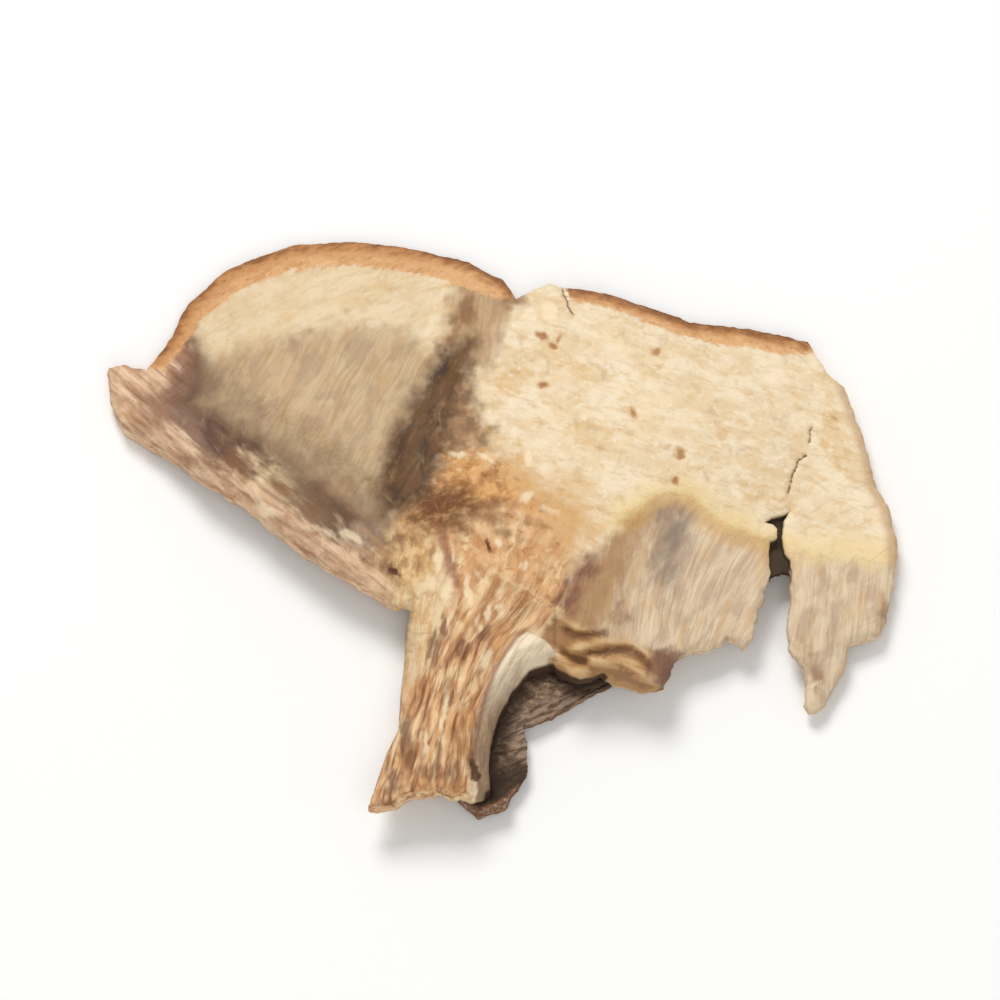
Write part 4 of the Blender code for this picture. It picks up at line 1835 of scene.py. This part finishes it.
    def right_tubes(self, graph: Graph, fray: Value) -> Value:
        """Tubes of the right half, browner by the stem and bruised near their top.

        Args:
            graph: The material's graph.
            fray: The noise along the fibres.

        Returns:
            The colour.
        """
        cloud = graph.noise("tube_grain", 1.2, 2.0, 3.0, 0.6, 0.6)
        return graph.layers(
            self.tubes.colour(graph),
            (graph.moved("near_stem", cloud, 0.8).between(0.2, 0.95) * 0.8, self.tube_brown),
            (graph.moved("tube_top", fray, 1.6).below(0.2, 1.7) * 0.6, self.tube_top),
            (graph.frayed("shadow", cloud, 3.0, 1.3) * 0.85, self.tube_shadow),
        )

    def folds(self, graph: Graph) -> Value:
        """Folds of the lip, with painted highlights on their crests and brown, partly painted shade,
        between them.

        Args:
            graph: The material's graph.

        Returns:
            The colour.
        """
        grain = graph.noise("lip_grain", 2.4, 0.6, 3.0, 0.55, 0.2)
        from_fold = graph.moved("folds", grain, 1.5)
        return graph.layers(
            self.lip,
            # Partly painted shade between the crests, then painted highlights on them
            (from_fold.between(0.25, 0.75), self.lip_brown_and_shade),
            (from_fold.below(0.0, 0.42) * 0.6, self.pale_and_highlight),
            (graph.share("down").between(0.0, 0.3) * 0.7, self.lip),
        )

    def cut_rim(self, graph: Graph, weave: Weave) -> Value:
        """Cut rim of the stem, pale at the top and greyer towards the foot and the hollow. The pale top
        is partly painted light that makes up for the rim's slope away from the lights; the greying is
        partly painted shade.

        Args:
            graph: The material's graph.
            weave: The noises that the tissues share.

        Returns:
            The colour.
        """
        streak = weave.along_stem
        lower = graph.share("lower_stem")
        low = graph.mix(streak.between(0.42, 0.62), self.rim_low_and_shade, self.rim_grey_and_shade)
        inward_shade = graph.moved("rim_border", weave.drift, 1.0).between(0.5, 1.4) * lower
        return graph.layers(
            self.rim,
            (streak.between(0.45, 0.65) * 0.6, self.rim_shade),
            (lower, low),
            (inward_shade * 0.7, self.rim_grey_and_shade),
        )

    def marks(self, graph: Graph, colour: Value, weave: Weave) -> Value:
        """Lays the drawn lines, stains, worm marks and cracks over the tissues.

        Args:
            graph: The material's graph.
            colour: The tissues' colour.
            weave: The shared noises.

        Returns:
            The colour.
        """
        fray, streak, drift = weave.along_fibres, weave.along_stem, weave.drift
        grit = graph.noise("flesh_grain", 0.3, 0.24, 3.0, 0.6, 0.5)
        worm = graph.moved("worm", grit, 0.5)
        lines = [
            (graph.moved("stem_border", drift, 1.2).below(0.0, 0.75) * 0.65, self.red_line),
            (graph.moved("rim_border", streak, 0.8).below(0.0, 0.3) * 0.6, self.red_line),
            (graph.moved("pale_fibre", grit, 0.6).below(0.0, 0.2) * 0.55, self.pale_and_highlight),
        ]
        spots = [
            # Painted shade in the creases
            (graph.moved("creases", grit, 0.5).below(0.0, 0.45) * 0.65, self.crease),
            (graph.moved("stain", streak, 2.2).between(0.1, 1.0) * 0.75, self.stain),
            (graph.moved("shade", drift, 1.2).between(0.0, 1.0) * 0.75, self.shade),
            (graph.moved("light", streak, 1.8).between(0.1, 1.0) * 0.7, self.light),
            (worm.between(0.05, 0.55) * 0.6, self.halo),
            (worm.between(0.35, 1.0) * 0.85, self.worm),
            (graph.moved("pit", fray, 0.9).between(0.1, 0.7) * 0.9, self.pit),
            # Painted shade inside the cracks
            (graph.moved("cracks", grit, 0.4).below(0.0, 0.14) * 0.8, self.crack_shade),
        ]
        on_top = [(share * weave.on_top, tone) for share, tone in lines + spots]
        # Painted shade along the cap's right edge
        rim = (graph.share("right_edge_shade").below(0.2, 1.0) * 0.7, self.right_edge_shade)
        return graph.layers(colour, *on_top[: len(lines)], rim, *on_top[len(lines) :])

    def relief(self, graph: Graph) -> Value:
        """Finest relief: pores and fibres too small for the mesh.

        Args:
            graph: The material's graph.

        Returns:
            The height from 0 to 1.
        """
        pores = graph.noise("flesh_grain", 0.45, 0.32, 3.0, 0.6, 0.4)
        lines = graph.noise("tube_grain", 0.22, 1.4)
        net = graph.noise("stem_grain", 0.25, 1.2, 3.0, 0.6, 0.4)
        tubes = graph.share("tubes_right").between(-0.4, 0.4)
        stem = graph.share("stemward").between(-0.3, 0.3)
        return pores * (1.0 - tubes) * (1.0 - stem) + lines * tubes + net * stem * 1.5


@dataclass(frozen=True)
class LeafFinish:
    """Finish of the rolled leaf: dark fibrous tissue with pale crumbs and a reddish foot, with painted
    shade under the stem's rim and lip and inside the curl of its foot.
    """

    dark: Colour = (92, 70, 52)
    brown: Colour = (146, 120, 96)
    crumb: Colour = (196, 174, 148)
    side: Colour = (172, 146, 124)
    side_line: Colour = (104, 80, 62)
    # Painted shade under the rim and lip and inside the foot's curl
    pocket_shade: Colour = (50, 35, 25)
    foot: Colour = (132, 90, 66)
    under: Colour = (150, 116, 84)
    relief_depth: float = 0.0002

    def material(self) -> bpy.types.Material:
        """The finished material of the leaf.

        Returns:
            The material.
        """
        graph = Graph("rolled_leaf")
        cloud = graph.noise("seen_grain", 1.7, 0.9, 4.0, 0.6, 0.5)
        crumb = graph.noise("seen_grain", 0.5, 0.34, 4.0, 0.6, 0.4)
        streak = graph.noise("leaf_grain", 2.2, 0.34, 3.0, 0.58, 0.3)
        on_foot = graph.moved("leaf_foot", crumb, 0.9)
        beneath = graph.share("down").between(0.8, 1.0) * (0.3 + 0.5 * cloud.between(0.4, 0.6))
        colour = graph.layers(
            self.dark,
            ((cloud * 0.6 + crumb * 0.4).between(0.42, 0.58), self.brown),
            (crumb.between(0.54, 0.68) * cloud.between(0.4, 0.58) * 0.85, self.crumb),
            (
                graph.moved("leaf_side", cloud, 2.0).below(0.4, 2.2) * 0.75,
                graph.mix(streak.between(0.44, 0.58), self.side, self.side_line),
            ),
            # Painted shadow of the rim and lip, then painted shade inside the curl of the foot
            (graph.moved("rim_shadow_line", cloud, 1.6).below(0.6, 2.4) * 0.85, self.pocket_shade),
            (on_foot.below(1.4, 2.6) * 0.8, self.pocket_shade),
            (on_foot.below(0.1, 0.45) * 0.85, self.foot),
            (on_foot.below(-0.1, 0.2) * crumb.below(0.4, 0.56) * 0.7, self.crumb),
            (beneath, self.under),
        )
        return graph.finish(colour, 0.7 + 0.3 * cloud, crumb, self.relief_depth)


@dataclass
class PorciniSlice:
    """The whole slice: the sheet of cap and stem with the leaf rolled under the stem."""

    sheet: CurledSheet = field(default_factory=CurledSheet)
    leaf: RolledLeaf = field(default_factory=RolledLeaf)
    floor: SlotFloor = field(default_factory=SlotFloor)
    net: SheetMesh = field(default_factory=SheetMesh)
    face: SliceFinish = field(default_factory=SliceFinish)
    leaf_finish: LeafFinish = field(default_factory=LeafFinish)
    grain_depth: float = 3.0

    def build(self) -> bpy.types.Object:
        """Makes the slice as one object, dresses it and sets it on the frame.

        Returns:
            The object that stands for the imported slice.
        """
        relief = Relief()
        sheet = self.net.build(self.sheet, relief.sheet, relief.hollow, CREASES + CRACKS)
        leaf = self.net.build(self.leaf, relief.leaf, relief.hollow, [])
        floor = self.net.build(self.floor, relief.leaf, relief.hollow, [])
        floor.down = np.full(len(floor.places), Surface.SUNK.value)
        parts = [sheet, floor, leaf]
        faces: list[list[int]] = []
        start = 0
        for part in parts:
            faces += [[start + i for i in face] for face in part.faces]
            start += len(part.places)
        places = np.vstack([part.places for part in parts]) * MM
        mesh = bpy.data.meshes.new("dried_slice")
        mesh.from_pydata(places.tolist(), [], faces)
        mesh.materials.append(self.face.material())
        mesh.materials.append(self.leaf_finish.material())
        finish = [0] * (len(sheet.faces) + len(floor.faces)) + [1] * len(leaf.faces)
        mesh.polygons.foreach_set("material_index", finish)
        mesh.shade_smooth()
        down = np.concatenate([part.down for part in parts])
        self.store(mesh, np.vstack([part.seen for part in parts]), down)
        piece = bpy.data.objects.new("dried_slice", mesh)
        bpy.context.scene.collection.objects.link(piece)
        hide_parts("porcini_slice")
        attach(piece, "root")
        return piece

    def store(self, mesh: bpy.types.Mesh, seen: np.ndarray, down: np.ndarray) -> None:
        """Stores the survey and the grains that the finishes read on the mesh.

        Args:
            mesh: The slice's mesh.
            seen: The seen point under each vertex.
            down: The share of the way down from the upper surface.
        """
        shares = {**Survey(seen).found, "down": down}
        for name, values in shares.items():
            made = mesh.attributes.new(name, "FLOAT", "POINT")
            made.data.foreach_set("value", values.astype(np.float32))
        x, y = seen[:, 0], seen[:, 1]
        grains = {
            "flesh_grain": flesh_grain(seen),
            "tube_grain": tube_grain(seen),
            "stem_grain": stem_grain(seen),
            "wing_grain": wing_grain(seen),
            "left_grain": left_grain(seen),
            "seen_grain": seen,
            "leaf_grain": np.column_stack([x + 0.45 * y, y - 0.45 * x]),
            "lip_grain": np.column_stack([x, y + 0.3 * x]),
            "root_grain": root_grain(seen),
        }
        for name, values in grains.items():
            made = mesh.attributes.new(name, "FLOAT_VECTOR", "POINT")
            deep = np.column_stack([values, down * self.grain_depth])
            made.data.foreach_set("vector", deep.astype(np.float32).ravel())


@dataclass
class Studio:
    """Pale table, soft lights and the camera, in metres."""

    table_side: float = 3.0
    table_colour: Colour = (251, 251, 250)
    key: tuple[float, float, float] = (-0.16, 0.42, 0.60)
    fill: tuple[float, float, float] = (0.10, -0.52, 0.56)
    sky_strength: float = 0.41
    lens: float = 250.0
    distance: float = 0.555
    aim: tuple[float, float, float] = (0.0, 0.0015, 0.0025)

    def build(self) -> None:
        """Sets the table, the lights and the camera."""
        self.table()
        self.light("key", self.key, side=0.32, power=3.2)
        self.light("fill", self.fill, side=0.7, power=2.0)
        self.sky()
        self.camera()

    def table(self) -> None:
        """Makes the pale table top."""
        half = self.table_side / 2.0
        mesh = bpy.data.meshes.new("table_top")
        corners = [(-half, -half, 0.0), (half, -half, 0.0), (half, half, 0.0), (-half, half, 0.0)]
        mesh.from_pydata(corners, [], [(0, 1, 2, 3)])
        graph = Graph("table_top")
        graph.shader.inputs["Base Color"].default_value = linear(self.table_colour)
        graph.shader.inputs["Roughness"].default_value = 0.9
        mesh.materials.append(graph.material)
        top = bpy.data.objects.new("table_top", mesh)
        top.location.z = -TABLE_GAP
        bpy.context.scene.collection.objects.link(top)

    def light(self, name: str, place: tuple[float, float, float], side: float, power: float) -> None:
        """Hangs a soft square light that faces the slice.

        Args:
            name: The light's name.
            place: Where it hangs.
            side: Its side.
            power: Its power in watts.
        """
        lamp = bpy.data.lights.new(name, "AREA")
        lamp.shape = "SQUARE"
        lamp.size = side
        lamp.energy = power
        hung = bpy.data.objects.new(name, lamp)
        hung.location = place
        hung.rotation_euler = (Vector(self.aim) - Vector(place)).to_track_quat("-Z", "Y").to_euler()
        bpy.context.scene.collection.objects.link(hung)

    def sky(self) -> None:
        """Fills the room with even pale light."""
        world = bpy.data.worlds.new("room")
        world.use_nodes = True
        background = world.node_tree.nodes["Background"]
        background.inputs["Color"].default_value = (1.0, 1.0, 1.0, 1.0)
        background.inputs["Strength"].default_value = self.sky_strength
        bpy.context.scene.world = world

    def camera(self) -> None:
        """Looks down at the slice from the front."""
        camera = bpy.data.cameras.new("camera")
        camera.lens = self.lens
        camera.clip_start = 0.01
        seat = bpy.data.objects.new("camera", camera)
        aim = Vector(self.aim)
        away = Vector((0.0, -math.cos(VIEW_TILT), math.sin(VIEW_TILT)))
        seat.location = aim + self.distance * away
        seat.rotation_euler = (-away).to_track_quat("-Z", "Y").to_euler()
        bpy.context.scene.collection.objects.link(seat)
        bpy.context.scene.camera = seat
        bpy.context.scene.view_settings.view_transform = "Standard"


def main() -> None:
    """Builds the slice and the studio."""
    logging.basicConfig(level=logging.INFO, format="%(name)s: %(message)s")
    piece = PorciniSlice().build()
    LOG.info("%s has %d faces", piece.name, len(piece.data.polygons))
    Studio().build()
    bpy.context.view_layer.update()


if __name__ == "__main__":
    main()
